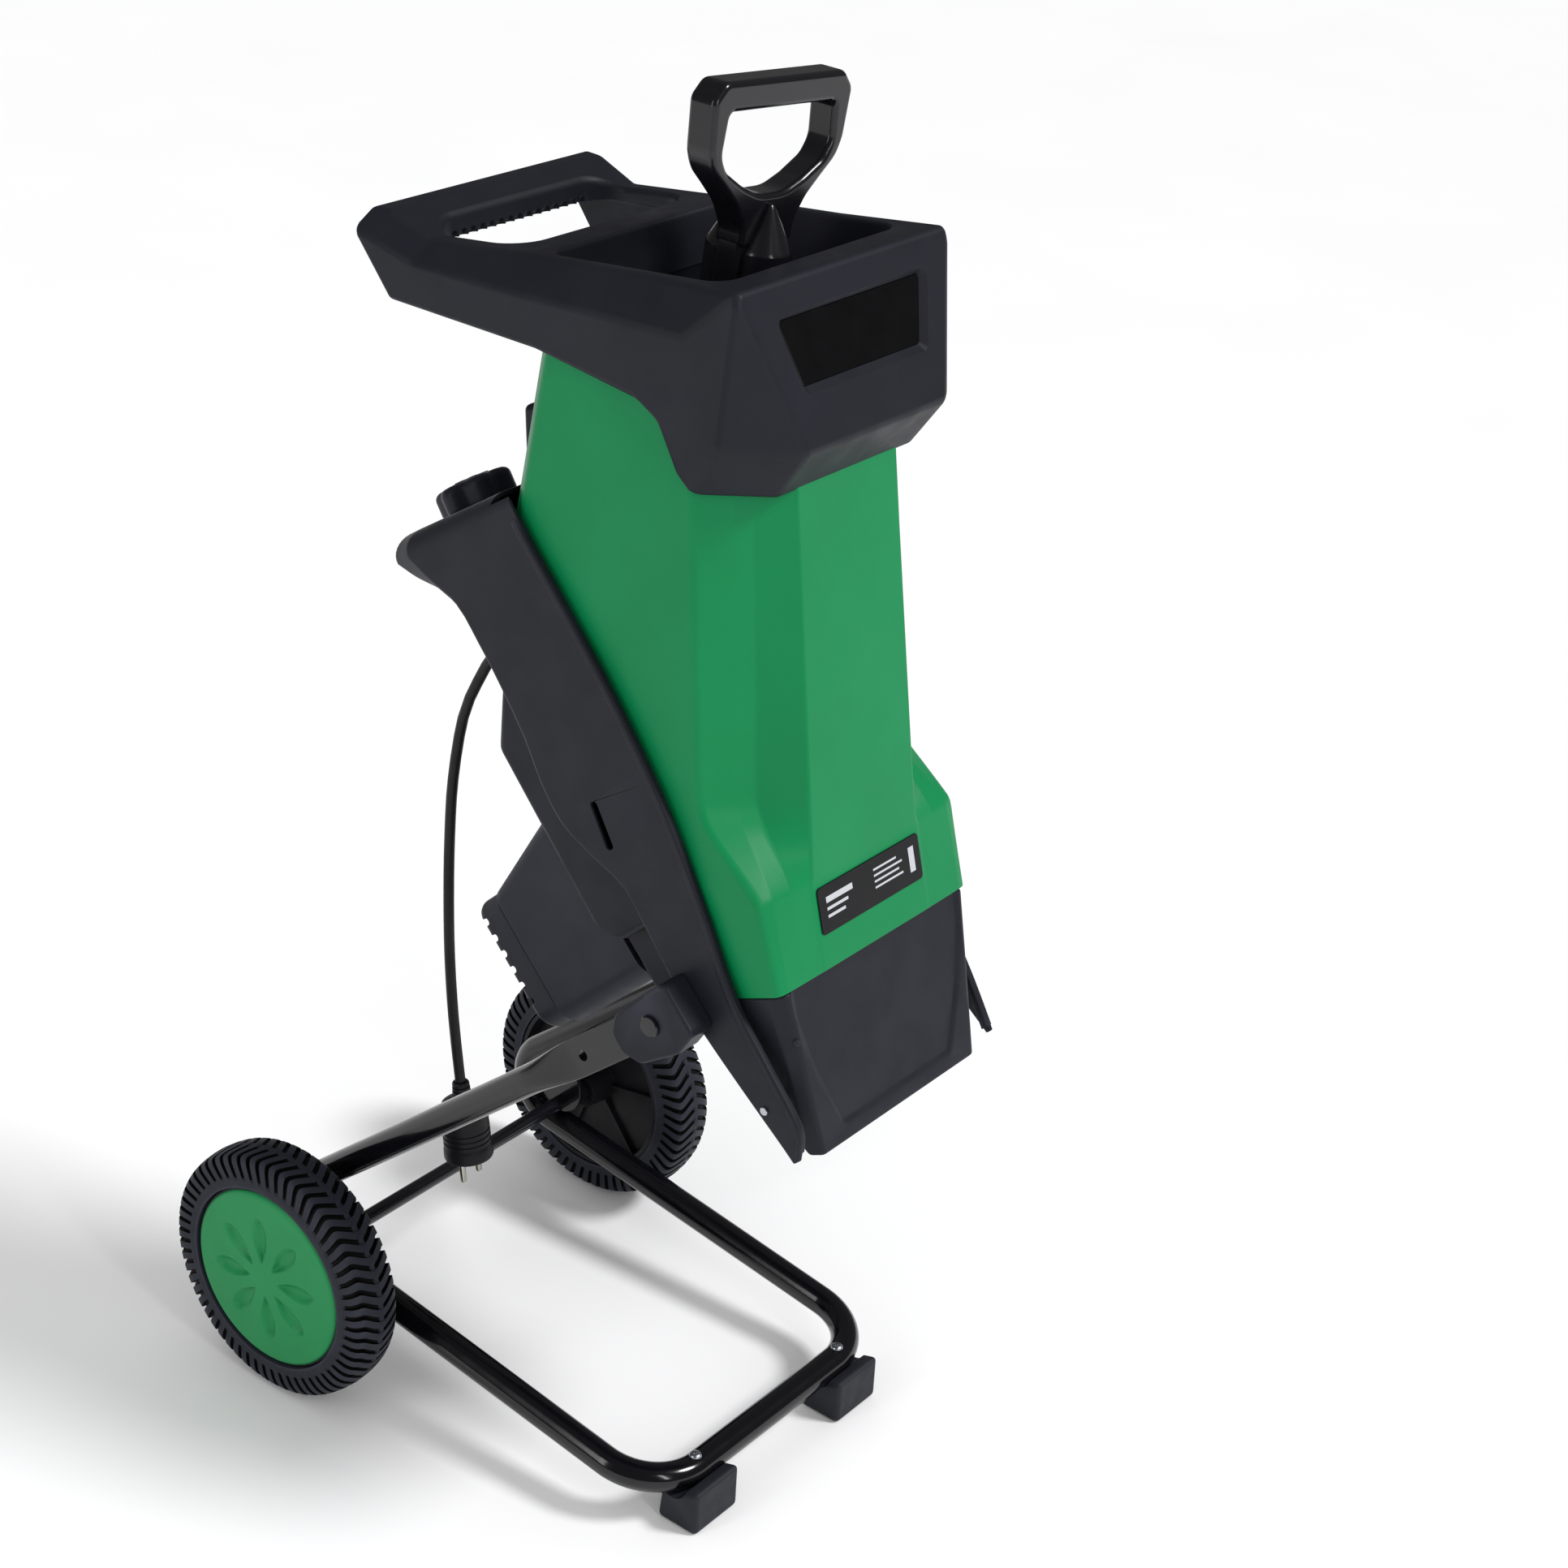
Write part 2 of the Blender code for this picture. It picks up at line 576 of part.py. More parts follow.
def tray_loft(name, thick):
    """The tray's outer skin, or its hollow when a wall thickness is given; open to the front."""
    half = BASE_HALF - thick
    rings = []
    for u in TRAY_LEVELS:
        rings.append([(x, w, u - thick * (u < 0)) for x, w in mirrored(tray_plan(u, half, thick, 0.0)[:-1])])
    for flare, rise in ((0.3, 0.35), (0.75, 0.7), (1.0, 1.0)):
        plan = tray_plan(372.0, half, thick, flare)
        ring = []
        for x, w in plan + [(-x, w) for x, w in reversed(plan[:-1])]:
            top = end_wall_u(w) - thick
            ring.append((x, w, 335.0 + (top - 335.0) * rise))
        rings.append(ring)
    rings = [ring[:5] + [(0.0, ring[4][1], ring[4][2])] + ring[5:] if len(ring) == 10 else ring
             for ring in rings]
    return loft(name, rings, SLATE, BASE, thick > 0)


def in_base(name, outline, half, inner=None):
    """A cutter or an added block from a (u, w) outline across the machine."""
    low, high = (-half, half) if inner is None else sorted((inner, half))
    return prism(name, [(w, u) for u, w in outline], "x", low, high, SLATE, BASE, True)


def base_tray():
    tray = tray_loft("base_tray", 0.0)
    hollow = tray_loft("base_hollow", WALL)
    step = in_base("base_step", [
        (STEP_U[0], BACK_W - 1.5), (STEP_U[0], STEP_W - 14), (STEP_U[0] + 16, STEP_W),
        (STEP_U[1] - 34, STEP_W - 5), (STEP_U[1], STEP_W - 38), (STEP_U[1], BACK_W - 1.5)], STEP_HALF)
    plinth = in_base("base_plinth", [
        (PLINTH_U[0], BACK_W - 1.5), (PLINTH_U[0], STEP_W), (PLINTH_U[1], STEP_W),
        (PLINTH_U[1], BACK_W - 1.5)], PLINTH_HALF)
    step_hollow = in_base("base_step_hollow", [
        (STEP_U[0] + WALL, BACK_W - 10), (STEP_U[0] + WALL, STEP_W - 15.5),
        (STEP_U[0] + 17.5, STEP_W - WALL), (STEP_U[1] - 35.5, STEP_W - 5 - WALL),
        (STEP_U[1] - WALL, STEP_W - 39.5), (STEP_U[1] - WALL, BACK_W - 10)], STEP_HALF - WALL)
    plinth_hollow = in_base("base_plinth_hollow", [
        (PLINTH_U[0] + WALL, BACK_W - 11), (PLINTH_U[0] + WALL, STEP_W - WALL - 0.5),
        (PLINTH_U[1] - WALL, STEP_W - WALL - 0.5), (PLINTH_U[1] - WALL, BACK_W - 11)],
        PLINTH_HALF - WALL)
    discharge = block("base_discharge", (-INNER_CUT, INNER_CUT), (-560, -380),
                      (-160, TRAY_FLOOR_U), SLATE, BASE, True)
    soften(step, 5.0, 2)
    soften(plinth, 5.0, 2)
    add(tray, step, plinth)
    bolt_w, bolt_u = ARM_BOLT
    for name, side in SIDES:
        ear = in_base("arm_ear_" + name, [
            (4, -462), (-2, -440), (4, bolt_w + 28), (16, bolt_w + 38), (32, bolt_w + 38),
            (42, bolt_w + 26), (44, -440), (44, -462)], side * EAR_OUT, side * (BASE_HALF - 1))
        soften(ear, 3.0, 1)
        add(tray, ear)
    cut(tray, hollow, step_hollow, plinth_hollow, discharge)
    for name, u, bearing in (("disc", DISC_U, 13.0), ("motor", MOTOR_U, 11.0)):
        boss = rod(name + "_bearing_boss", bearing + 4, STEP_W - 29, STEP_W - 1, SLATE, BASE, "y", 18,
                   (0.0, u), True)
        bore = rod(name + "_bearing_bore", bearing + 2 * FIT, STEP_W - 40, STEP_W - 15, SLATE, BASE,
                   "y", 18, (0.0, u), True)
        add(tray, boss)
        cut(tray, bore)
    shaft_hole = rod("motor_shaft_hole", SHAFT_DIAMETER / 2 + 1.5, STEP_W - 40, STEP_W + 20, SLATE,
                     BASE, "y", 16, (0.0, MOTOR_U), True)
    cut(tray, shaft_hole)
    for name, side in SIDES:
        slot_x = sorted(side * (FRAME_HALF + s * (ARM_FLAT[1] / 2 + FIT)) for s in (-1, 1))
        slot = block("arm_slot_" + name, slot_x, (bolt_w - ARM_FLAT[0] * 0.62 - 2, bolt_w + 60),
                     (bolt_u - ARM_FLAT[0] / 2 - 2.5, bolt_u + ARM_FLAT[0] / 2 + 2.5), SLATE, BASE,
                     True)
        low, high = sorted((side * (BASE_HALF - 20), side * (EAR_OUT + 10)))
        hole = rod("ear_bolt_hole_" + name, 4.0 + FIT, low, high, SLATE, BASE, "x", 12, ARM_BOLT,
                   True)
        pin_hole = rod("pin_hole_" + name, HINGE_PIN / 2 + FIT, low, high, SLATE, BASE, "x", 12,
                       HINGE, True)
        vent = in_base("side_slot_" + name, rounded(
            [(169, -470), (171, -464), (138, -456), (136, -462)], 2.5, 2),
            side * (EAR_OUT + 10), side * (BASE_HALF - 20))
        cut(tray, slot, hole, pin_hole, vent)
    behind = 8.0
    lip = prism("end_wall_lip", [(-420.0, 520.0), (back_y(520) + behind, 520.0),
                                 (back_y(700) + behind, 700.0), (-420.0, 700.0)], "x",
                -INNER_CUT, INNER_CUT, SLATE, HOUSING, True)
    stud_slot = block("stud_slot", (-6, 6), (-560, KNOB_W + 6), (360, 420), SLATE, BASE, True)
    gland_hole = rod("gland_hole", 7.0 + FIT, BACK_W - 10, BACK_W + 10, SLATE, BASE, "y", 16,
                     GLAND, True)
    cut(tray, lip, stud_slot, gland_hole)


def hinge_pins():
    for name, side in SIDES:
        axis = frame("hinge_pin_axis_" + name, TILT_AXIS, turn=(0, 0, 180 if side < 0 else 0))
        r = HINGE_PIN / 2
        turned("hinge_pin_" + name,
               [(COVER_HALF[1] - 7, 0.0), (COVER_HALF[1] - 7, r), (BASE_HALF + FIT, r),
                (BASE_HALF + FIT, r + 2.5), (BASE_HALF + 2.2, r + 2.0), (BASE_HALF + 3, r),
                (BASE_HALF + 3, 0.0)], 12, ZINC, axis, "x")


def arm_bolts():
    w, u = ARM_BOLT
    for name, side in SIDES:
        axis = frame("arm_bolt_axis_" + name, BASE, (0, w, u), (0, 0, 180 if side < 0 else 0))
        inner = BASE_HALF - WALL
        turned("frame_bolt_" + name,
               [(inner - 9, 0.0), (inner - 9, 4.0), (EAR_OUT + FIT, 4.0), (EAR_OUT + FIT, 8.5),
                (EAR_OUT + 3, 8.0), (EAR_OUT + 5.5, 5.0), (EAR_OUT + 5.5, 0.0)], 16, ENAMEL, axis, "x")
        nut = prism("frame_nut_" + name, circle(7.5, 6), "x", inner - 7, inner - FIT, ZINC, axis)
        cut(nut, rod("frame_nut_bore_" + name, 4.0 + FIT, inner - 15, inner + 5, ZINC, axis, "x", 16,
                     hidden=True))


# Motor, gears and cutter disc, drawn along the disc and motor axes

def gear_outline(teeth, module, turn=0.0):
    """A straight-flanked outline that keeps clear of its mate."""
    pitch = teeth * module / 2
    outline = []
    for t in range(teeth):
        for offset, r in ((-0.30, pitch - 1.15 * module), (-0.10, pitch + 0.85 * module),
                          (0.10, pitch + 0.85 * module), (0.30, pitch - 1.15 * module)):
            a = 2 * pi * (t + turn + offset) / teeth
            outline.append((r * cos(a), r * sin(a)))
    return outline


def motor():
    half = 75.0
    low, top_front, top_rear = 49.0, 188.0, 158.0
    slope = (top_rear - top_front) / (MOTOR_SPLIT_W - MOTOR_FRONT_W)

    def shape(grow):
        return [(low - grow, MOTOR_FRONT_W - 1 * (grow < 0)), (low - grow, MOTOR_SPLIT_W + (grow < 0)),
                (top_rear + grow, MOTOR_SPLIT_W + (grow < 0)),
                (top_front + grow - slope * (grow < 0), MOTOR_FRONT_W - 1 * (grow < 0))]
    housing = in_base("motor_housing", shape(0.0), half)
    housing.hide_render = False
    housing.display_type = "TEXTURED"
    soften(housing, 6.0, 2)
    stator_low = MOTOR_U - STATOR_DIAMETER / 2
    cut(housing, in_base("motor_hollow", shape(-WALL), half - WALL))
    pad = block("stator_pad", (-24, 24), (STATOR_W[0] + 6, STATOR_W[1] - 6),
                (low + 1, stator_low + 8), SLATE, BASE, True)
    seat = rod("stator_seat", STATOR_DIAMETER / 2 + FIT, STATOR_W[0] - 5, STATOR_W[1] + 5, SLATE,
               BASE, "y", 36, (0.0, MOTOR_U), True)
    add(housing, pad)
    cut(housing, seat)

    cap_w = (MOTOR_SPLIT_W + FIT, MOTOR_END_W)
    cap = block("motor_end_cap", (-73, 73), cap_w, (52, 157), SLATE, BASE)
    soften(cap, 5.0, 2)
    cut(cap, block("end_cap_hollow", (-70, 70), (cap_w[0] - 5, cap_w[1] - WALL), (55, 154), SLATE,
                   BASE, True))
    for k in range(6):
        u = 76.0 + 13.0 * k
        cut(cap, block("end_cap_vent_%d" % (k + 1), (-80, 80), (cap_w[1] - 9, cap_w[1] + 5), (u, u + 5),
                       SLATE, BASE, True))
    boss = rod("rear_bearing_boss", 13.0, cap_w[0] + 2, cap_w[1] - 1, SLATE, BASE, "y", 24,
               (0.0, MOTOR_U), True)
    bore = rod("rear_bearing_bore", 9.0 + FIT, cap_w[0], cap_w[1] - 4, SLATE, BASE, "y", 24,
               (0.0, MOTOR_U), True)
    add(cap, boss)
    cut(cap, bore)

    coil = STATOR_DIAMETER / 2 - 8
    turned("motor_stator", [
        (STATOR_W[0], coil), (STATOR_W[0] + 10, coil + 2), (STATOR_W[0] + 10, STATOR_DIAMETER / 2),
        (STATOR_W[1] - 10, STATOR_DIAMETER / 2), (STATOR_W[1] - 10, coil + 2), (STATOR_W[1], coil),
        (STATOR_W[1], ROTOR_DIAMETER / 2 + 3), (STATOR_W[1] - 10, ROTOR_DIAMETER / 2 + 1),
        (STATOR_W[0] + 10, ROTOR_DIAMETER / 2 + 1), (STATOR_W[0], ROTOR_DIAMETER / 2 + 3)], 36,
        COPPER, MOTOR_AXIS)

    shaft = SHAFT_DIAMETER / 2
    rotor = ROTOR_DIAMETER / 2
    commutator = (-303.0, -289.0)
    armature = turned("armature", [
        (GEAR_W[0] - 1, 0.0), (GEAR_W[0] - 1, shaft), (STATOR_W[0] + 6, shaft),
        (STATOR_W[0] + 8, rotor - 4), (STATOR_W[0] + 14, rotor), (STATOR_W[1] - 14, rotor),
        (STATOR_W[1] - 8, rotor - 4), (STATOR_W[1] - 6, shaft), (commutator[0], shaft),
        (commutator[0], 12.0), (commutator[1], 12.0), (commutator[1], shaft),
        (MOTOR_END_W - 5, shaft), (MOTOR_END_W - 5, 0.0)], 24, STEEL, MOTOR_AXIS)
    pinion = prism("pinion", gear_outline(PINION_TEETH, GEAR_MODULE, 0.75), "z", *GEAR_W, STEEL,
                   MOTOR_AXIS, True)
    add(armature, pinion)

    def ring(name, low_w, high_w, outer, inner, mat, axis):
        turned(name, [(low_w, inner), (low_w, outer), (high_w, outer), (high_w, inner)], 24, mat, axis)
    bearing_end = STEP_W - 15 - FIT
    ring("motor_bearing_front", bearing_end - 9, bearing_end, 11.0, shaft + 0.1, STEEL, MOTOR_AXIS)
    ring("motor_bearing_rear", MOTOR_END_W - 13, MOTOR_END_W - 4 - FIT, 9.0, shaft + 0.1, STEEL,
         MOTOR_AXIS)
    ring("spindle_bearing_rear", bearing_end - 11, bearing_end, 13.0, SPINDLE_DIAMETER / 2 + 0.1,
         STEEL, DISC_AXIS)

    vanes = []
    for k in range(10):
        a = 2 * pi * k / 10
        for offset, r in ((-0.16, 12.0), (-0.05, 37.0), (0.05, 37.0), (0.16, 12.0)):
            vanes.append((r * cos(a + offset), r * sin(a + offset)))
    fan = prism("motor_fan", vanes, "z", MOTOR_FRONT_W + 3, MOTOR_FRONT_W + 12, BLACK, MOTOR_AXIS)
    cut(fan, rod("motor_fan_bore", shaft + 0.1, MOTOR_FRONT_W, MOTOR_FRONT_W + 20, BLACK, MOTOR_AXIS,
                 hidden=True))


def spindle():
    r = SPINDLE_DIAMETER / 2
    front, back = DISC_W
    plate_w = (BACK_W - WALL - FIT - PLATE_THICK, BACK_W - WALL - FIT)
    bearing = (plate_w[0] + 1, plate_w[0] + 12)
    turned("cutter_spindle", [
        (front - 9, 0.0), (front - 9, 6.0), (back + FIT, 6.0), (back + FIT, 11.0), (bearing[0], 11.0),
        (bearing[0], r), (STEP_W - 16, r), (STEP_W - 16, 0.0)], 24, STEEL, DISC_AXIS)
    return plate_w, bearing


def fixings():
    """Bolts that carry the base on the arms, and the pins that the housing tilts on."""
    hinge_pins()
    arm_bolts()


def gearbox():
    """Bearing plate, spindle, driven gear, disc and blades."""
    plate_w, bearing = spindle()
    plate = block("bearing_plate", (-STEP_HALF - 3, STEP_HALF + 3), plate_w, (14, 282), ALUMINIUM,
                  BASE)
    boss = rod("plate_boss", 17.0, plate_w[0] + 0.5, bearing[1] + 1, ALUMINIUM, BASE, "y", 20,
               (0.0, DISC_U), True)
    add(plate, boss)
    bore = rod("plate_bearing_bore", 13.0 + 2 * FIT, bearing[0], bearing[1] + 5, ALUMINIUM, BASE, "y",
               20, (0.0, DISC_U), True)
    shaft = rod("plate_shaft_hole", 12.0, bearing[0] - 10, bearing[1] + 5, ALUMINIUM, BASE, "y", 20,
                (0.0, DISC_U), True)
    cut(plate, bore, shaft)
    turned("spindle_bearing_front", [
        (bearing[0] + FIT, SPINDLE_DIAMETER / 2 + 0.1), (bearing[0] + FIT, 13.0), (bearing[1], 13.0),
        (bearing[1], SPINDLE_DIAMETER / 2 + 0.1)], 24, STEEL, DISC_AXIS)

    gear = prism("drive_gear", gear_outline(GEAR_TEETH, GEAR_MODULE, 0.25), "z", *GEAR_W, STEEL,
                 DISC_AXIS)
    hub = rod("gear_hub", 14.0, GEAR_W[0] + 1, GEAR_W[1] + 6, STEEL, DISC_AXIS, hidden=True, sides=24)
    add(gear, hub)
    cut(gear, rod("gear_bore", SPINDLE_DIAMETER / 2 + 0.1, GEAR_W[0] - 5, GEAR_W[1] + 15, STEEL,
                  DISC_AXIS, hidden=True, sides=24))

    disc = turned("cutter_disc", [
        (DISC_W[0], 6.1), (DISC_W[0], DISC_DIAMETER / 2 - 0.8), (DISC_W[0] + 0.8, DISC_DIAMETER / 2),
        (DISC_W[1], DISC_DIAMETER / 2), (DISC_W[1], 6.1)], 40, STEEL, DISC_AXIS)
    length, width, thick = BLADE_SIZE
    for k, name in enumerate(("a", "b")):
        axis = frame("blade_axis_" + name, DISC_AXIS, turn=(0, 0, 25 + 180 * k))
        middle = 52.0
        window = block("disc_window_" + name, (middle - length / 2, middle + length / 2),
                       (width / 2 - 2, width / 2 + 8), (DISC_W[0] - 5, DISC_W[1] + 5), STEEL, axis,
                       True)
        cut(disc, window)
        front = DISC_W[0] - FIT
        blade = prism("blade_" + name, [(-width / 2, front), (width / 2 - 5, front),
                                        (width / 2, front - thick), (-width / 2, front - thick)],
                      "x", middle - length / 2 + 1, middle + length / 2 - 1, ZINC, axis)
        hole = rod("blade_hole_" + name, 3.0 + FIT, DISC_W[0] - 20, DISC_W[1] + 5, ZINC, axis,
                   at=(middle, -3.0), hidden=True, sides=12)
        cut(blade, hole)
        cut(disc, hole)
        turned("blade_screw_" + name, [
            (front - thick - FIT - 1.8, 0.0), (front - thick - FIT - 1.8, 4.6),
            (front - thick - FIT, 5.0), (front - thick - FIT, 3.0), (DISC_W[1], 3.0),
            (DISC_W[1], 0.0)], 12, STEEL, frame("blade_screw_axis_" + name, axis, (middle, -3.0, 0)))
    nut = prism("disc_nut", circle(10.0, 6), "z", DISC_W[0] - 7, DISC_W[0] - FIT, ZINC, DISC_AXIS)
    cut(nut, rod("disc_nut_bore", 6.2, DISC_W[0] - 15, DISC_W[0] + 5, ZINC, DISC_AXIS, sides=24,
                 hidden=True))


# Green housing

def green_ring(z, grow=0.0):
    """Half of the housing's outline at height z, from the middle of the back to the front."""
    side, front, ridge, flat, panel = SECTIONS[-1][1:]
    for (z0, *low), (z1, *high) in zip(SECTIONS, SECTIONS[1:]):
        if z <= z1:
            t = max(0.0, (z - z0) / (z1 - z0))
            side, front, ridge, flat, panel = [
                tuple(a + (b - a) * t for a, b in zip(p, q)) for p, q in zip(low, high)]
            break
    back = back_y(z)
    across = GREEN_HALF / 107.0
    face = [(x * across, y) for x, y in (side, front, ridge, flat, panel)]
    return [(0.0, back), (-GREEN_HALF + 12, back), (-GREEN_HALF, back - 13), *face,
            (0.0, panel[1])]


SECTIONS = (
    # height, side corner, facet corner, flat strip, slope foot, panel edge: each (x, y)
    (311.0, (-107, -406), (-98, -407.5), (-80, -408), (-62, -408.4), (-58, -408.6)),
    (323.0, (-107, -404.5), (-98, -406), (-80, -406.4), (-62, -406.7), (-58, -406.9)),
    (384.0, (-110, -390.5), (-98, -393), (-80, -394), (-62, -394.8), (-59, -395.5)),
    (388.0, (-109.5, -387.5), (-97, -391), (-80, -392.5), (-60, -394), (-58, -395.5)),
    (432.0, (-107, -339), (-85, -354), (-74, -361), (-58, -391), (-56.5, -392.5)),
    (650.0, (-107, -337), (-85, -354), (-74, -360), (-54, -376.5), (-52.5, -378)),
    (745.0, (-107, -337), (-85, -354), (-74, -360), (-54, -376.5), (-52.5, -378)))
SHELL_LEVELS = (323.0, 384.0, 388.0, 432.0, 540.0, 650.0, 745.0)


def parting(y):
    """Height of the joint between the housing and the chute cover."""
    return 323.0 - 0.324 * (y + 406.0)


def full_ring(half):
    """A half outline from the back's middle to the front's middle, closed on the other side."""
    return list(half) + [(-p[0], *p[1:]) for p in reversed(half[1:-1])]


def green_skin(name, distance, mat, hidden, top=GREEN_TOP, bottom_drop=0.0, floor=None):
    """The housing's skin moved in by a distance (out when negative)."""
    rings = []
    for k, z in enumerate(SHELL_LEVELS):
        outline = inset(full_ring(green_ring(z)), distance)
        if k == 0:
            rings.append([(x, y, parting(y) - bottom_drop) for x, y in outline])
        else:
            height = top if k == len(SHELL_LEVELS) - 1 else z
            rings.append([(x, y, height) for x, y in outline])
    if floor is not None:
        rings = rings[floor:]
    return loft(name, rings, mat, HOUSING, hidden)


def seam_cutter(name, w):
    """A block that fills everything behind one depth of the base frame."""
    return block(name, (-140, 140), (w, -100), (-260, 420), GREEN, BASE, True)


def green_shell():
    shell = green_skin("green_shell", 0.0, GREEN, False)
    hollow = green_skin("green_hollow", WALL, GREEN, True, GREEN_TOP + 20, 30.0)
    seam = prism("green_seam", [(SEAM_W, -160.0), (SEAM_W, 330.0), (SEAM_W - 30, 352.0),
                                (SEAM_W - 30, 357.0), (-100, 357.0), (-100, -160)], "x", -140, 140,
                 GREEN, BASE, True)
    cut(shell, hollow, seam)


def label_and_window():
    low, high = 347.0, 379.0
    half = GREEN_HALF - 50.0

    def face(z):
        t = (z - 323.0) / (384.0 - 323.0)
        return -406.9 + (406.9 - 395.5) * t - FIT
    outline = [(face(low), low), (face(high), high), (face(high) - 0.8, high), (face(low) - 0.8, low)]
    prism("label_plate", outline, "x", -half, half, LABEL, HOUSING)


def chute_cover():
    top_half, low_half = COVER_HALF
    rear = -456.0

    def rings(thick, extra):
        result = []
        for z, half, front in ((None, top_half, -406.0), (270.0, top_half - 5.4, -416.5),
                               (CHUTE_BOTTOM, low_half, -428.0)):
            x = half - thick
            f = front + thick
            level = z
            ring = []
            for px, py in ((-x, -330.0), (-x, f + 6), (-x + 6, f), (x - 6, f), (x, f + 6), (x, -330.0)):
                if z is None:
                    ring.append((px, py, parting(py) - FIT + extra))
                else:
                    ring.append((px, py, level - (extra if z == CHUTE_BOTTOM else 0)))
            result.append(ring)
        return result
    cover = loft("chute_cover", rings(0.0, 0.0), SLATE, HOUSING)
    hollow = loft("cover_hollow", rings(WALL, 10.0), SLATE, HOUSING, True)
    open_back = block("cover_open_back", (-90, 90), (-480, -100), (-200, 200), SLATE, BASE, True)
    behind = block("cover_behind", (-140, 140), (rear, -100), (-200, 200), SLATE, BASE, True)
    panel = prism("cover_panel", [(-58, 217.0), (58, 217.0), (50, 300.0), (-50, 300.0)], "y",
                  -440.0, -400.0, SLATE, HOUSING, True)
    deep = 1.4
    face = [(-406.0 + deep, 323.0), (-428.0 + deep, CHUTE_BOTTOM), (-460.0, CHUTE_BOTTOM), (-460.0, 323.0)]
    panel_depth = prism("cover_panel_depth", face, "x", -80, 80, SLATE, HOUSING, True)
    pocket = boolean(panel, "INTERSECT", panel_depth)
    cut(cover, hollow, pocket, behind)
    for name, side in SIDES:
        low, high = sorted((side * 80, side * 130))
        hole = rod("cover_pin_hole_" + name, HINGE_PIN / 2 + FIT, low, high, SLATE, TILT_AXIS, "x",
                   12, hidden=True)
        cut(cover, hole)


def feed_chute():
    top_z = 697.0 + HOPPER_RISE

    def rings(grow, lift):
        top = [(-83, -334), (-83, -219), (83, -219), (83, -334)]
        low = [(-THROAT_HALF, THROAT_Y[0], 361.0), (-THROAT_HALF, THROAT_Y[1], 412.0),
               (THROAT_HALF, THROAT_Y[1], 412.0), (THROAT_HALF, THROAT_Y[0], 361.0)]
        return [[(x + grow * (1 if x > 0 else -1), y + grow * (1 if y > -290 else -1), z - lift)
                 for x, y, z in low],
                [(x + grow * (1 if x > 0 else -1), y + grow * (1 if y > -280 else -1), top_z + lift)
                 for x, y in top]]
    chute = loft("feed_chute", rings(2.5, 0.0), SLATE, HOUSING)
    flange_z = (top_z - 10.0, top_z - 6.0)
    flange = loft("chute_flange", [[(x, y, z) for x, y in inset(full_ring(green_ring(z)), WALL + FIT)]
                                   for z in flange_z], SLATE, HOUSING, True)
    add(chute, flange)
    cut(chute, loft("feed_chute_hollow", rings(0.0, 20.0), SLATE, HOUSING, True),
        seam_cutter("feed_chute_seam", DISC_W[0] - 10.0))


def anvil():
    w = DISC_W[0] - 10.0
    block("anvil_blade", (-48, 48), (w - 17, w - 1), (74.4, 80.4), STEEL, BASE)


# Hopper collar with its carrying handle

COLLAR_TOP = ((-110, -376, 783), (-101, -300, 782), (-101, -200, 780), (-101, -120, 777),
              (-104, -88, 792), (-106, -74, 793))
COLLAR_EDGE = ((-118, -340, 752), (-118, -271, 756), (-118, -200, 759), (-118, -120, 764),
               (-120, -90, 774), (-120, -68, 780))
COLLAR_BOTTOM = ((-113, -341, 652), (-117, -333, 664), (-118, -319, 696), (-118, -303, 707),
                 (-118, -221, 725), (-118, -96, 737))
COLLAR_CORNER = (-118, -366, 687)
COLLAR_FRONT = ((-74, -403, 680), (-71, -376, 646))


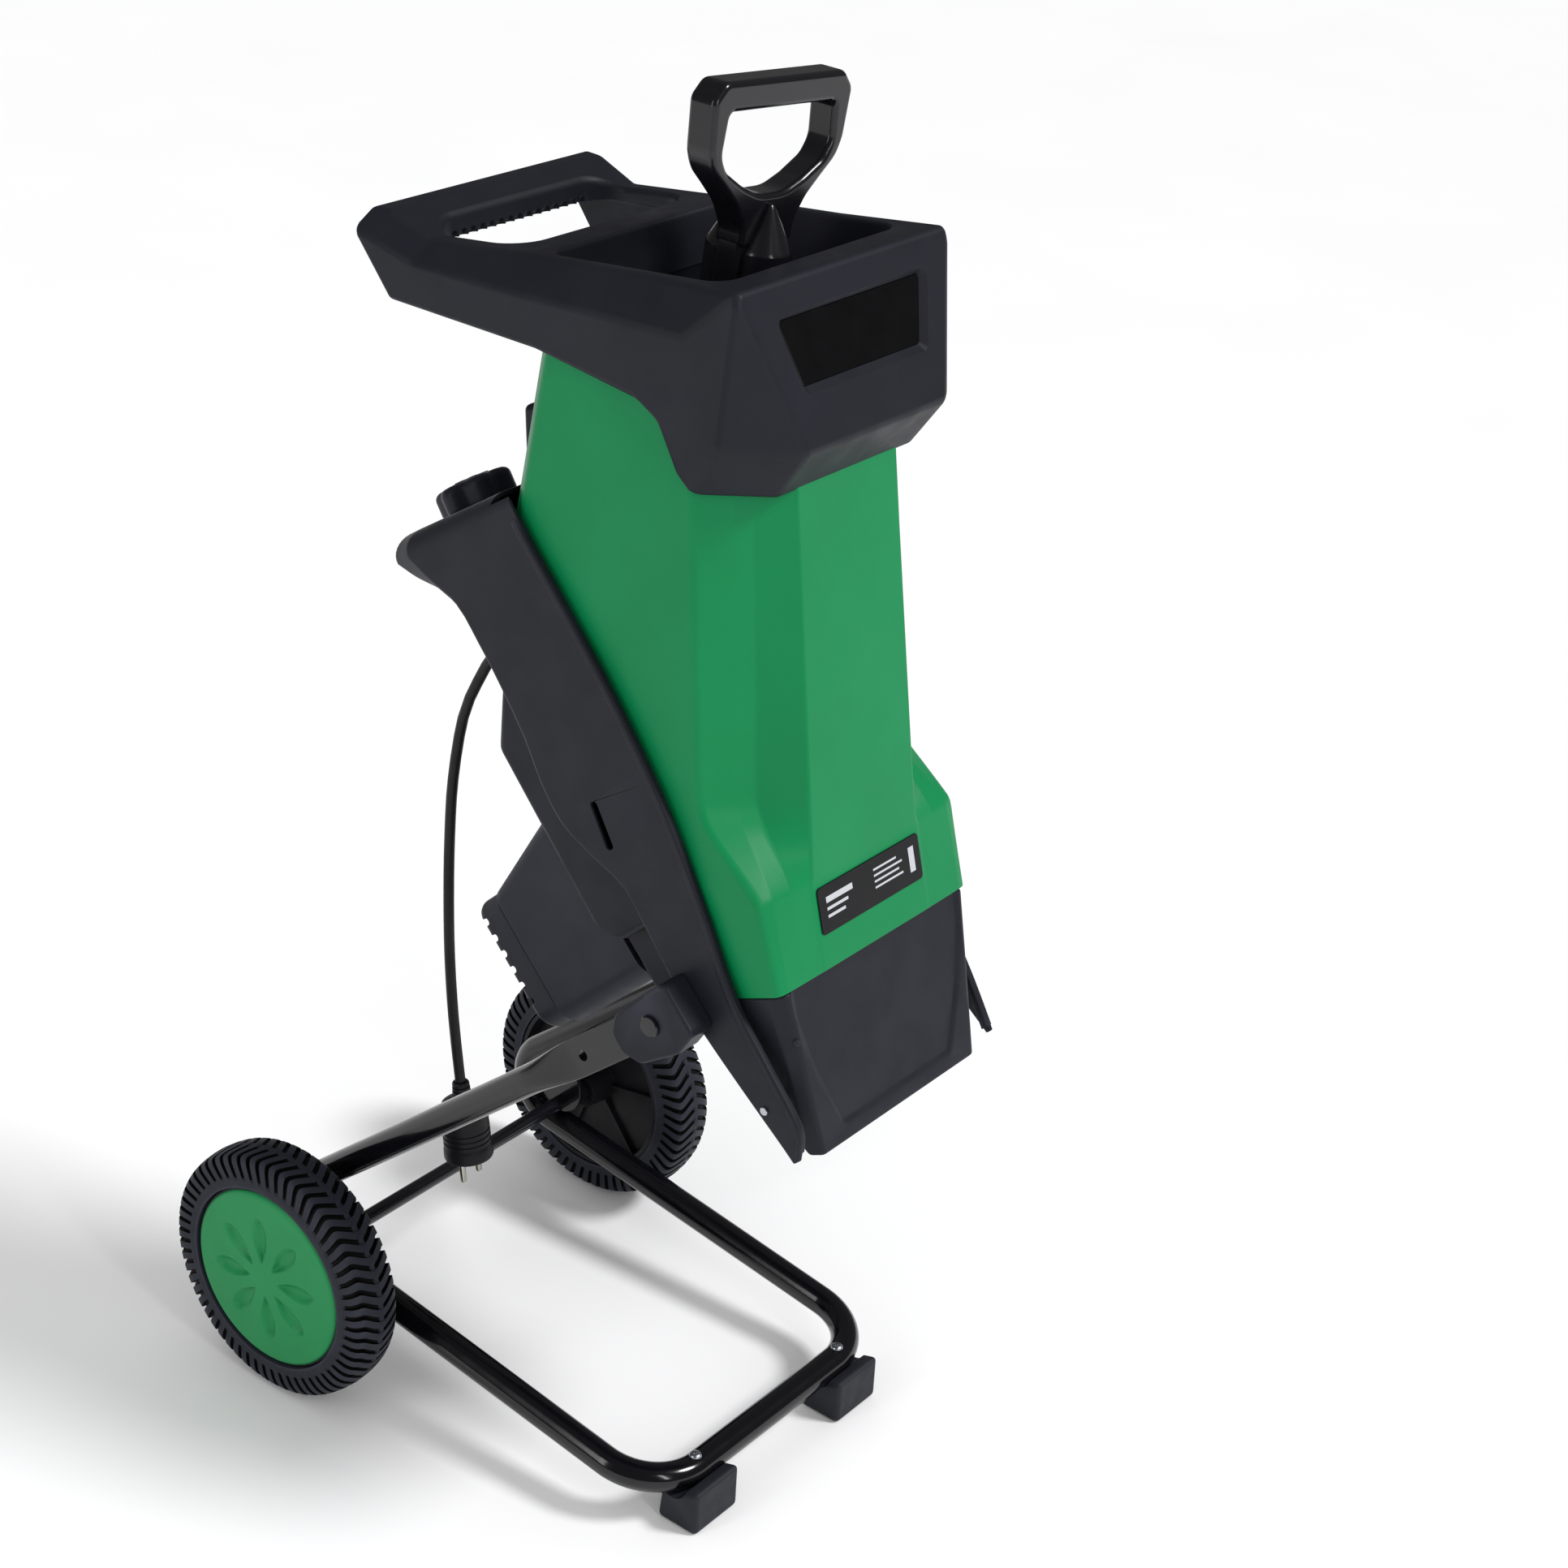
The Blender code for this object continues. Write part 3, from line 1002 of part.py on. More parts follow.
def hopper_collar():
    points = [*COLLAR_TOP, *COLLAR_EDGE, *COLLAR_BOTTOM, COLLAR_CORNER, *COLLAR_FRONT]
    half = len(points)
    t, m, b, corner, front, skirt = range(0, 6), range(6, 12), range(12, 18), 18, 19, 20
    faces = [(t[0], m[0], corner), (t[0], corner, front), (corner, b[0], b[1], b[2], m[0]),
             (m[0], b[2], b[3], m[1]), (m[1], b[3], b[4], m[2]), (m[2], b[4], b[5], m[3]),
             (m[3], b[5], m[4]), (m[4], b[5], m[5]), (corner, front, skirt, b[0])]
    faces += [(t[i], t[i + 1], m[i + 1], m[i]) for i in range(5)]
    faces += [tuple(v + half for v in face) for face in faces]
    rims = [*reversed(t), front, skirt, *b]
    for i, v in enumerate(rims):
        n = rims[(i + 1) % len(rims)]
        if (v, n) != (b[5], t[5]):
            faces.append((v, n, n + half, v + half))
    faces.append((b[5], m[5], m[5] + half, b[5] + half))
    faces.append((m[5], t[5], t[5] + half, m[5] + half))
    verts = points + [(-x, y, z) for x, y, z in points]
    rise = HOPPER_RISE
    collar = make("hopper_collar", [(x, y, z + rise) for x, y, z in verts], faces, SLATE, HOUSING)
    hand_hole = prism("hand_hole", rounded([(-86, -105), (86, -105), (86, -183), (-86, -183)], 22, 4),
                      "z", 650 + rise, 850 + rise, SLATE, HOUSING, True)
    under_bar = block("under_bar", (-88, 88), (-188, -40), (680 + rise, 768 + rise), SLATE, HOUSING,
                      True)
    mouth = loft("hopper_mouth", [
        [(x, y, 690 + rise) for x, y in rectangle(79, (-336, -224), 12)],
        [(x, y, 760 + rise) for x, y in rectangle(88, (-347, -216), 12)],
        [(x, y, 800 + rise) for x, y in rectangle(96, (-356, -208), 14)]], SLATE, HOUSING, True)
    seat = green_skin("collar_seat", -COLLAR_FIT, SLATE, True, GREEN_TOP + COLLAR_FIT, floor=4)
    inner = prism("collar_inner", [(-113, -222), (-113, -336), (-79, -364), (79, -364), (113, -336),
                                   (113, -222)], "z", 640 + rise, 740 + rise, SLATE, HOUSING, True)
    finger = [block("finger_groove_%d" % (k + 1), (-64 + 26 * k, -50 + 26 * k), (-120, -60),
                    (764 + rise, 769.5 + rise), SLATE, HOUSING, True) for k in range(5)]
    soften(collar, 3.0, 2, 20)
    collar.modifiers.new("Flat faces", "TRIANGULATE")
    cut(collar, hand_hole, under_bar, mouth, seat, inner, *finger)
    slope = (-403 + 376) / (680 - 783)

    def face_y(z, depth):
        return -376.0 + (z - 783) * slope + depth
    pane = rounded([(-62, 716), (62, 716), (76, 761), (-76, 761)], 6, 3)

    def window_rings(outline, front_depth, rear_depth):
        return [[(x, face_y(z, d), z + rise) for x, z in outline] for d in (front_depth, rear_depth)]
    pocket = loft("window_pocket", window_rings(inset(pane, -FIT), -12.0, 3.0), SLATE, HOUSING, True)
    loft("hopper_window", window_rings(pane, 0.2, 3.0 - FIT), GLOSS, HOUSING)
    cut(collar, pocket)


# Switch box, latch and knob

def switch_box():
    rear = -143.0
    gap = FIT + 0.1
    outline = [(back_y(634) + gap, 634.0), (rear, 620.0), (rear, 658.0), (back_y(664) + gap, 664.0)]
    box = prism("switch_box", outline, "x", -45, 45, SLATE, HOUSING)
    soften(box, 4.0, 2)
    cavity = prism("switch_cavity", [(back_y(640) - 10, 637.0), (rear - WALL, 624.0),
                                     (rear - WALL, 655.0), (back_y(660) - 10, 660.0)], "x", -42, 42,
                   SLATE, HOUSING, True)
    cut(box, cavity)
    for name, x, z, r, mat in (("start_button", -20.0, 641.0, 10.0, START_GREEN),
                               ("stop_button", 20.0, 641.0, 10.0, RED)):
        axis = frame(name + "_axis", HOUSING, (x, 0, z))
        hole = rod(name + "_hole", r + FIT, rear - 10, rear + 10, SLATE, axis, "y", 24, hidden=True)
        cut(box, hole)
        turned(name, [(rear - WALL - 3, 0.0), (rear - WALL - 3, r + 1.5), (rear - WALL - FIT, r + 1.5),
                      (rear - WALL - FIT, r), (rear + 4, r), (rear + 5, r - 1), (rear + 5, 0.0)], 24,
               mat, axis, "y")


def latch():
    strap_low, thick = 2.0, 3.0

    def strap_u(w, lift):
        return end_wall_u(w) + lift
    front_y = back_y(626) + 0.4
    bend_w, bend_u = housing_to_base(front_y + 3.4, 622.0)
    foot_w, foot_u = housing_to_base(back_y(598) + 0.4, 598.0)
    foot_out_w, foot_out_u = housing_to_base(back_y(598) + 3.4, 598.0)
    top_w, top_u = housing_to_base(back_y(628) + 0.4, 628.0)
    tip = KNOB_W + 18.0
    outline = [(foot_w, foot_u), (foot_out_w, foot_out_u), (bend_w, strap_u(bend_w, strap_low)),
               (tip, strap_u(tip, strap_low)), (tip, strap_u(tip, strap_low + thick)),
               (top_w, strap_u(top_w, strap_low + thick))]
    plate = prism("latch_plate", outline, "x", -14, 14, ZINC, BASE)
    axis = frame("knob_axis", BASE, (0, KNOB_W, end_wall_u(KNOB_W)),
                 (atan2(END_SLOPE, 1) * 180 / pi, 0, 0))
    r = STUD_DIAMETER / 2
    hole = rod("latch_stud_hole", r + FIT, -20, 20, ZINC, axis, hidden=True)
    cut(plate, hole)
    base = strap_low + thick + FIT
    lobes = []
    for k in range(48):
        a = 2 * pi * k / 48
        rr = KNOB_DIAMETER / 2 - 4.0 * (0.5 - 0.5 * cos(6 * a)) ** 2
        lobes.append((rr * cos(a), rr * sin(a)))
    knob = prism("locking_knob", lobes, "z", base, base + KNOB_HEIGHT, SLATE, axis)
    soften(knob, 3.0, 1, 40)
    cut(knob, rod("knob_bore", r + 0.1, base - 5, base + 12, SLATE, axis, hidden=True))
    turned("knob_stud", [(-9.0, 0.0), (-9.0, r - 1), (-8.0, r), (base + 11.5, r), (base + 11.5, 0.0)],
           16, ZINC, axis)


def housing_to_base(y, z):
    turn = radians(BASE_TILT - HOUSING_LEAN)
    return y * cos(turn) - z * sin(turn), z * cos(turn) + y * sin(turn)


def microswitch():
    front = -470.0
    top = end_wall_u(front) - WALL - FIT
    block("safety_microswitch", (20, 40), (front, front + 34), (top - 12, top), BLACK, BASE)


# Pusher

def pusher():
    def ring_outline(points):
        return points + [(-x, z) for x, z in reversed(points)]
    outer = ring_outline([(-27, -16), (-27.5, -3), (-37, 11.5), (-51, 24), (-64, 35), (-69, 47),
                          (-71.5, 80), (-61, 90.7)])
    inner = ring_outline([(-13, 17.5), (-31, 24.5), (-50, 35), (-56.5, 45), (-54, 71.5)])
    grip = prism("pusher", rounded(outer, 9, 2), "y", -11, 11, SLATE, PUSHER_AXIS)
    soften(grip, 4.5, 2, 40)
    hole = prism("pusher_grip_hole", rounded(inner, 8, 2), "y", -20, 20, SLATE, PUSHER_AXIS, True)
    shaft = block("pusher_shaft", (-27, 27), (-9, 9), (-PUSHER_LENGTH, -10), SLATE, PUSHER_AXIS, True)
    stems = []
    for name, y in (("front", -12.0), ("rear", 12.0)):
        axis = frame("pusher_stem_axis_" + name, PUSHER_AXIS, (0, y, 0))
        stems.append(turned("pusher_stem_" + name, [
            (-PUSHER_LENGTH, 0.0), (-PUSHER_LENGTH, 18.5), (-18, 18.5), (11, 2.0), (12, 0.0)], 24,
            SLATE, axis, hidden=True))
    # the sole is as wide as the chute where it rests, and lies against one side of it
    sole = block("pusher_sole", (-60.7, 60.7), (-32, 32), (-PUSHER_LENGTH - 6, -PUSHER_LENGTH + 1), SLATE,
                 PUSHER_AXIS, True)
    add(grip, shaft, *stems, sole)
    cut(grip, hole)


# Power lead, drawn level with the ground

def gland():
    x, u = GLAND
    axis = frame("gland_axis", BASE, (x, 0, u), (-90, 0, 0))
    bore = CORD_DIAMETER / 2 + 0.2
    turned("cord_gland", [
        (BACK_W - 8, bore), (BACK_W - 8, 7.0), (BACK_W + FIT, 7.0), (BACK_W + FIT, 10.0),
        (BACK_W + 3, 10.0), (BACK_W + 5, 7.0), (BACK_W + 26, 5.6), (BACK_W + 26, bore)], 20, BLACK,
        axis)


LEAD_ROUTE = ((-45, -103.9, 632.4), (-45, -89.8, 618.3), (-45, -75.7, 604.2), (-44, -57.0, 582.0),
              (-43, -41.0, 553.0),
              (-42, -28.0, 520.0), (-41, -20.0, 468.0), (-40, -18.0, 420.0), (-40, -19.5, 368.0),
              (-40, -23.0, 318.0), (-40, -29.0, 270.0), (-39.5, -36.0, 228.0), (-39, -41.0, 200.0))


def smooth_points(route, spacing):
    """Points on a Catmull-Rom curve through the route."""
    result = []
    for i in range(len(route) - 1):
        p0, p1, p2, p3 = (Vector(route[max(0, min(len(route) - 1, i + d))]) for d in (-1, 0, 1, 2))
        pieces = max(1, round((p2 - p1).length / spacing))
        for k in range(pieces):
            t = k / pieces
            result.append(0.5 * (2 * p1 + (p2 - p0) * t + (2 * p0 - 5 * p1 + 4 * p2 - p3) * t * t
                                 + (3 * p1 - p0 - 3 * p2 + p3) * t ** 3))
    return result + [Vector(route[-1])]


def lead():
    points = smooth_points(LEAD_ROUTE, CORD_DIAMETER * 2.2)
    curve = bpy.data.curves.new("cord", "CURVE")
    curve.dimensions = "3D"
    spline = curve.splines.new("POLY")
    spline.points.add(len(points) - 1)
    for p, co in zip(spline.points, points):
        p.co = (*(co * MM), 1)
    curve.bevel_depth = CORD_DIAMETER / 2 * MM
    curve.bevel_resolution = 2
    curve.use_fill_caps = True
    curve.materials.append(RUBBER)
    obj = bpy.data.objects.new("cord", curve)
    bpy.context.scene.collection.objects.link(obj)
    obj.parent = GROUND
    end, before = points[-1], points[-3]
    fall = (before - end).normalized()
    axis = frame("plug_axis", None, end)
    axis.rotation_mode = "QUATERNION"
    axis.rotation_quaternion = fall.to_track_quat("Z", "Y")
    bore = CORD_DIAMETER / 2 + 0.2
    plug = turned("plug", [
        (16.0, bore), (16.0, 6.5), (2.0, 7.5), (0.0, 16.0), (-12.0, 18.5), (-46.0, 19.0), (-48.0, 17.5),
        (-48.0, 0.0), (-0.3, 0.0), (-0.3, bore)], 24, BLACK, axis)
    for k, x in enumerate((-9.5, 9.5)):
        add(plug, rod("plug_pin_%d" % (k + 1), 2.4, -66.0, -46.0, ZINC, axis, at=(x, 0.0), sides=12,
                      hidden=True))


stand_frame()
axle()
for side_name, side_sign in SIDES:
    foot(side_name, side_sign)
    wheel(side_name, side_sign)
base_tray()
fixings()
motor()
gearbox()
green_shell()
label_and_window()
chute_cover()
feed_chute()
anvil()
hopper_collar()
switch_box()
latch()
microswitch()
pusher()
gland()
lead()
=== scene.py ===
import json
from math import acos, atan2, ceil, cos, degrees, pi, radians, sin, tan

import bmesh
import bpy
from mathutils import Euler, Matrix, Vector

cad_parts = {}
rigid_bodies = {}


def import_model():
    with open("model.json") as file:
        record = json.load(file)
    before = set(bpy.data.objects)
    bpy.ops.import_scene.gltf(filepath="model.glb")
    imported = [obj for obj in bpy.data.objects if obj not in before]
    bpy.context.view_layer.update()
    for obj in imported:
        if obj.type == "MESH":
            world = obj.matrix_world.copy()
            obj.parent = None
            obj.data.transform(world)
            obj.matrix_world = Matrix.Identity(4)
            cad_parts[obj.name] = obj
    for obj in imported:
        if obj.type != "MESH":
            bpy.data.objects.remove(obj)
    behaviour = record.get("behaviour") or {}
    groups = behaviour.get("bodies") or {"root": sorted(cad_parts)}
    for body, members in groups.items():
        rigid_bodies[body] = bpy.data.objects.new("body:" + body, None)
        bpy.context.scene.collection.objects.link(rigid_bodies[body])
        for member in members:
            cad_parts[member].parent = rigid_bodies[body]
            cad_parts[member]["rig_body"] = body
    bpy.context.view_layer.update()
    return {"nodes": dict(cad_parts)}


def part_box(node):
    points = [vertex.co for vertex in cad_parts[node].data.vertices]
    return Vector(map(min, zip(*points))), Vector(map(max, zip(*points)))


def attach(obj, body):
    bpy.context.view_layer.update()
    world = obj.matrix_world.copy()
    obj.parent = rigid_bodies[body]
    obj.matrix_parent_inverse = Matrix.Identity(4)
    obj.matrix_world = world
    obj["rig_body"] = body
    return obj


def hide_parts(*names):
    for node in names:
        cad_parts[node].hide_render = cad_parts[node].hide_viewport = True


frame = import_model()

# Electric wood chipper on its wheeled stand. Sizes are millimetres; the frames below turn them into
# the model's metres. +Y is the user's side, +Z is up, and the ground is z 0.

MM = 0.001
SIDES = (("left", -1), ("right", 1))


def frame_under(parent, at=(0, 0, 0), turn=(0, 0, 0)):
    """A frame at a place and turn (degrees) in its parent's millimetres."""
    return parent @ Matrix.Translation(at) @ Euler([radians(a) for a in turn]).to_matrix().to_4x4()


AXLE_Z = 100
GROUND = Matrix.Scale(MM, 4) @ Matrix.Translation((0, 151.7, 0))    # under the axle
AXLE = frame_under(GROUND, (0, 0, AXLE_Z))
HOUSING = frame_under(AXLE, turn=(-6.2, 0, 0))
BASE = frame_under(AXLE, turn=(-45, 0, 0))      # x across, w out along the motor shaft, u up the base
DISC_AXIS = frame_under(BASE, (0, 0, 75), (-90, 0, 0))
PUSHER_AXIS = frame_under(GROUND, (7, -212, 924.7), (0, 5, 0))


def placed(name, data):
    """A new object in the scene."""
    obj = bpy.data.objects.new(name, data)
    bpy.context.scene.collection.objects.link(obj)
    return obj


# Camera: the photograph's own viewpoint and lens

camera_data = bpy.data.cameras.new("camera")
camera_data.lens = 70.497
camera_data.sensor_width = 36
camera_data.clip_start, camera_data.clip_end = 0.05, 60
camera = placed("camera", camera_data)
camera.matrix_world = Matrix((
    (0.60599, 0.32054, -0.72806, -1.50537),
    (-0.79082, 0.34160, -0.50782, -1.17880),
    (0.08591, 0.88349, 0.46049, 1.50110),
    (0, 0, 0, 1)))
bpy.context.scene.camera = camera
bpy.context.scene.view_settings.view_transform = "Standard"


# Finishes


def linear(colour):
    """An sRGB hex colour as linear RGBA."""
    channels = [int(colour[i:i + 2], 16) / 255 for i in (0, 2, 4)]
    return (*[c / 12.92 if c <= 0.04045 else ((c + 0.055) / 1.055) ** 2.4 for c in channels], 1)


def add_node(tree, kind, inputs=None, **settings):
    """A shader node with its settings; an input is a value or another node's output."""
    node = tree.nodes.new("ShaderNode" + kind)
    for name, value in settings.items():
        setattr(node, name, value)
    for name, value in (inputs or {}).items():
        if isinstance(value, bpy.types.NodeSocket):
            tree.links.new(value, node.inputs[name])
        else:
            node.inputs[name].default_value = value
    return node


class Finish:
    """A material whose shader is fed by nodes, with other sockets the same all over."""

    def __init__(self, name, slot=None, **sockets):
        self.mat = bpy.data.materials.new(name)
        self.mat.use_nodes = True
        self.tree = self.mat.node_tree
        self.shader = self.tree.nodes["Principled BSDF"]
        self.place = self.node("TexCoord").outputs["Object"]
        for socket, value in sockets.items():
            self.shader.inputs[socket.replace("_", " ")].default_value = value

    def node(self, kind, inputs=None, **settings):
        return add_node(self.tree, kind, inputs, **settings)

    def feed(self, socket, value):
        self.tree.links.new(value, self.shader.inputs[socket])

    def noise(self, scale, detail, **inputs):
        """Noise over the object, or over another Vector."""
        inputs = {"Vector": self.place, "Scale": scale, "Detail": detail, **inputs}
        return self.node("TexNoise", inputs).outputs["Fac"]

    def mix(self, factor, dark, light):
        return self.node("Mix", {"Factor": factor, 6: dark, 7: light}, data_type="RGBA").outputs[2]

    def tones(self, factor, dark, light):
        """Colours the shader between two tones."""
        self.feed("Base Color", self.mix(factor, linear(dark), linear(light)))

    def spread(self, value, low, high, start=0, end=1):
        return self.node("MapRange", {"Value": value, "From Min": start, "From Max": end,
                                      "To Min": low, "To Max": high}).outputs["Result"]

    def gloss(self, value, rough, start=0, end=1):
        """Roughness between the two values of rough."""
        self.feed("Roughness", self.spread(value, *rough, start, end))

    def bump(self, height, depth_mm):
        bump = self.node("Bump", {"Height": height, "Distance": depth_mm * MM})
        self.feed("Normal", bump.outputs["Normal"])


def mottled(name, slot, light, dark, patch_mm, rough, grain_mm, depth_mm, ior, specular=0.5, edge=None,
            **sockets):
    """A finish whose colour drifts between two tones over patches of patch_mm, whose gloss varies
    between the two values of rough, and whose surface has a grain; edge is a paler tone painted
    on convex corners as a painted highlight."""
    finish = Finish(name, slot, IOR=ior, Specular_IOR_Level=specular, **sockets)
    patch = finish.noise(1000 / patch_mm, 3, Roughness=0.55)
    colour = finish.mix(patch, linear(dark), linear(light))
    # Painted highlight: convex corners, found by pointiness, are mixed towards the paler edge tone.
    if edge:
        painted_edge_highlight = finish.spread(finish.node("NewGeometry").outputs["Pointiness"], 0, 0.4, 0.53, 0.64)
        colour = finish.mix(painted_edge_highlight, colour, linear(edge))
    finish.feed("Base Color", colour)
    finish.gloss(finish.noise(2200 / patch_mm, 4), rough, 0.3, 0.7)
    finish.bump(finish.noise(1000 / grain_mm, 2), depth_mm)
    return finish.mat


# Injection-moulded ABS with a fine spark-eroded texture: satin green with soft highlights. The
# 0.3 mm texture is too fine to show, so it is drawn 2 mm wide.
GREEN_ABS = mottled("moulded_green_abs", "green_shell", "08834D", "057642", 90, (0.36, 0.46), 2,
                    0.012, 1.53, 0.16)
# Injection-moulded polypropylene: slate black and satin, with convex corners painted paler as a painted
# highlight.
SLATE_PP = mottled("moulded_slate_polypropylene", "slate_plastic", "1F2029", "181920", 60,
                   (0.40, 0.54), 1.8, 0.02, 1.49, 0.2, "40424F")
# The same polypropylene from a polished mould, for the pusher: black with sharp highlights, and convex
# corners painted paler as a painted highlight.
GLOSS_PP = mottled("polished_black_polypropylene", "slate_plastic", "131318", "0B0B0E", 70,
                   (0.16, 0.24), 3, 0.01, 1.49, edge="33343D")
# Moulded glass-filled nylon: plain black, half matt.
NYLON = mottled("moulded_black_nylon", "black_plastic", "1B1B1F", "131316", 30, (0.40, 0.52), 1.5,
                0.02, 1.53, 0.2)
# Soft vinyl of the lead's sheath: black with a dull sheen.
VINYL = mottled("black_vinyl_sheath", "rubber", "141417", "0D0D10", 40, (0.42, 0.55), 2, 0.015,
                1.53, 0.25)
# Moulded black rubber of the feet, with convex corners painted paler as a painted highlight.
FOOT_RUBBER = mottled("moulded_black_rubber_foot", "rubber", "25262E", "1A1B21", 25, (0.48, 0.62),
                      1.6, 0.03, 1.52, 0.2, "3E404B")
# Moulded tyre: blue-black and matt, with rib crests and corners painted paler as a painted highlight.
TYRE = mottled("ribbed_black_tyre", "tyre", "262833", "1D1F27", 30, (0.48, 0.64), 2.2, 0.05, 1.52,
               0.2, "50525F")
# The tyre's grooves, painted near black as painted shade.
GROOVE_SHADE = mottled("tyre_groove_painted_shade", "tyre", "08080A", "050507", 30, (0.6, 0.75), 2.2, 0.05, 1.52, 0.1)
# Polypropylene wheel cap, greyer than the housing.
CAP_GREEN = mottled("moulded_green_wheel_cap", "cap_green", "1E8C50", "187D45", 45, (0.34, 0.44),
                    2.5, 0.01, 1.49, 0.25)
# Stoved gloss enamel on steel tube: near black, mirror streaks, faint orange peel 5 mm across, and
# convex corners painted paler as a painted highlight.
ENAMEL = mottled("stoved_black_enamel", "enamel", "0B0B0F", "07070A", 50, (0.12, 0.18), 5, 0.012,
                 1.5, 0.35, "2A2B33", Coat_Weight=0.25, Coat_Roughness=0.06)
RED_BUTTON = mottled("moulded_red_button", "red", "C8231F", "B51C1A", 12, (0.32, 0.42), 1, 0.01, 1.5)
START_BUTTON = mottled("moulded_green_button", "start_green", "1FA34A", "18913F", 12, (0.32, 0.42),
                       1, 0.01, 1.5)


def metal(name, slot, light, dark, rough, streak_mm, depth_mm, turned_about=None):
    """A bare metal with streaks streak_mm apart: straight, or rings about a turned part's frame."""
    finish = Finish(name, slot, Metallic=1)
    if turned_about is None:
        stretch = finish.node("Mapping", {"Vector": finish.place, "Scale": (1, 1, 0.12)})
        streaks = finish.noise(1000 / streak_mm, 3, Vector=stretch.outputs["Vector"])
    else:
        centre, angles, _ = turned_about.decompose()
        to_part = finish.node("Mapping", {
            "Vector": finish.place, "Location": centre, "Rotation": angles.to_euler()},
            vector_type="TEXTURE")
        streaks = finish.node("TexWave", {
            "Vector": to_part.outputs["Vector"], "Scale": 1000 / streak_mm / 20,
            "Distortion": 0.6, "Detail": 2}, wave_type="RINGS", rings_direction="Z").outputs["Fac"]
    finish.tones(streaks, dark, light)
    finish.gloss(streaks, rough)
    finish.bump(streaks, depth_mm)
    return finish.mat


# Bright zinc plate on pressed and turned steel: cool grey, half bright, faintly cloudy.
ZINC = metal("bright_zinc_plate", "zinc", "C6C9CF", "A3A7AE", (0.24, 0.38), 6, 0.01)
# Ground and hardened tool steel: straight grinding lines, drawn 1 mm apart so that they show.
GROUND_STEEL = metal("ground_tool_steel", "steel", "B9BCC2", "8D9096", (0.2, 0.34), 1, 0.01)
# The disc is faced on a lathe: rings 1.5 mm apart about its shaft.
FACED_STEEL = metal("lathe_faced_steel", "steel", "A4A7AD", "82858B", (0.28, 0.4), 1.5, 0.02, DISC_AXIS)
# Cut and oiled gear steel, dark between the tool marks.
GEAR_STEEL = metal("oiled_gear_steel", "steel", "85888D", "5C5E63", (0.3, 0.42), 1.2, 0.02)
# Pressure die-cast aluminium: dull and slightly grainy.
CAST_ALUMINIUM = metal("die_cast_aluminium", "aluminium", "AEB1B5", "90949A", (0.45, 0.6), 4, 0.05)
# Brass pins of the plug, nickel plated and bright.
PIN_PLATE = metal("nickel_plated_pins", None, "CFCCC2", "B4B0A6", (0.18, 0.28), 3, 0.005)


def winding_wire():
    """Enamelled copper wire, wound about the motor shaft in turns 1.2 mm apart."""
    finish = Finish("enamelled_copper_wire", "copper", Metallic=1, Coat_Weight=0.6)
    level = finish.node("Mapping", {"Vector": finish.place, "Rotation": (radians(45), 0, 0)})
    turns = finish.node("TexWave", {
        "Vector": level.outputs["Vector"], "Scale": 1000 / 1.2 / 6.28, "Distortion": 1.5},
        bands_direction="Y").outputs["Fac"]
    finish.tones(turns, "6E3416", "C4743A")
    finish.gloss(turns, (0.45, 0.28))
    finish.bump(turns, 0.3)
    return finish.mat


def smoked_pane():
    """Polished black acrylic: a deep, even mirror that is slightly dusty."""
    finish = Finish("polished_black_acrylic", "acrylic", IOR=1.49, Specular_IOR_Level=0.3)
    dust = finish.noise(45, 5)
    finish.tones(dust, "020203", "0B0B0D")
    finish.gloss(dust, (0.06, 0.2), 0.35, 0.75)
    return finish.mat


def label_film():
    """Laminated black film with a few plain bars and no lettering."""
    finish = Finish("laminated_label_film", "label", IOR=1.5, Specular_IOR_Level=0.2)
    axes = finish.node("SeparateXYZ", {"Vector": finish.place}).outputs

    def calc(operation, a, b):
        return finish.node("Math", {0: a, 1: b}, operation=operation).outputs[0]
    low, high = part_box("label_plate")
    middle = (low.z + high.z) / 2
    bars = None
    # x from and to, z from and to, in millimetres from the label's middle
    for x0, x1, z0, z1 in ((-49, -20, 4, 8), (-49, -26, -1, 1), (-49, -30, -6, -4), (4, 30, 7, 8.4),
                           (4, 36, 3, 4.4), (4, 32, -1, 0.4), (4, 36, -5, -3.6), (44, 50, -8, 9)):
        inside = None
        for axis, start, end, shift in (("X", x0, x1, 0), ("Z", z0, z1, middle)):
            for limit, operation in ((start, "GREATER_THAN"), (end, "LESS_THAN")):
                test = calc(operation, axes[axis], shift + limit * MM)
                inside = test if inside is None else calc("MULTIPLY", inside, test)
        bars = inside if bars is None else calc("MAXIMUM", bars, inside)
    finish.tones(bars, "0D0D10", "B9BBC0")
    finish.gloss(finish.noise(60, 3), (0.22, 0.4))
    return finish.mat


COPPER, ACRYLIC, LABEL_FILM = winding_wire(), smoked_pane(), label_film()


# Mesh helpers

AXES = {"x": lambda a, b, c: (c, a, b), "y": lambda a, b, c: (a, c, b), "z": lambda a, b, c: (a, b, c)}


def solid(verts, faces, place=HOUSING, finish=SLATE_PP):
    """Points and faces in a frame's millimetres, as an object with its normals turned out."""
    mesh = bpy.data.meshes.new("part")
    mesh.from_pydata([place @ Vector(v) for v in verts], [], faces)
    bm = bmesh.new()
    bm.from_mesh(mesh)
    bmesh.ops.recalc_face_normals(bm, faces=bm.faces)
    bm.to_mesh(mesh)
    bm.free()
    mesh.materials.append(finish)
    return placed("part", mesh)


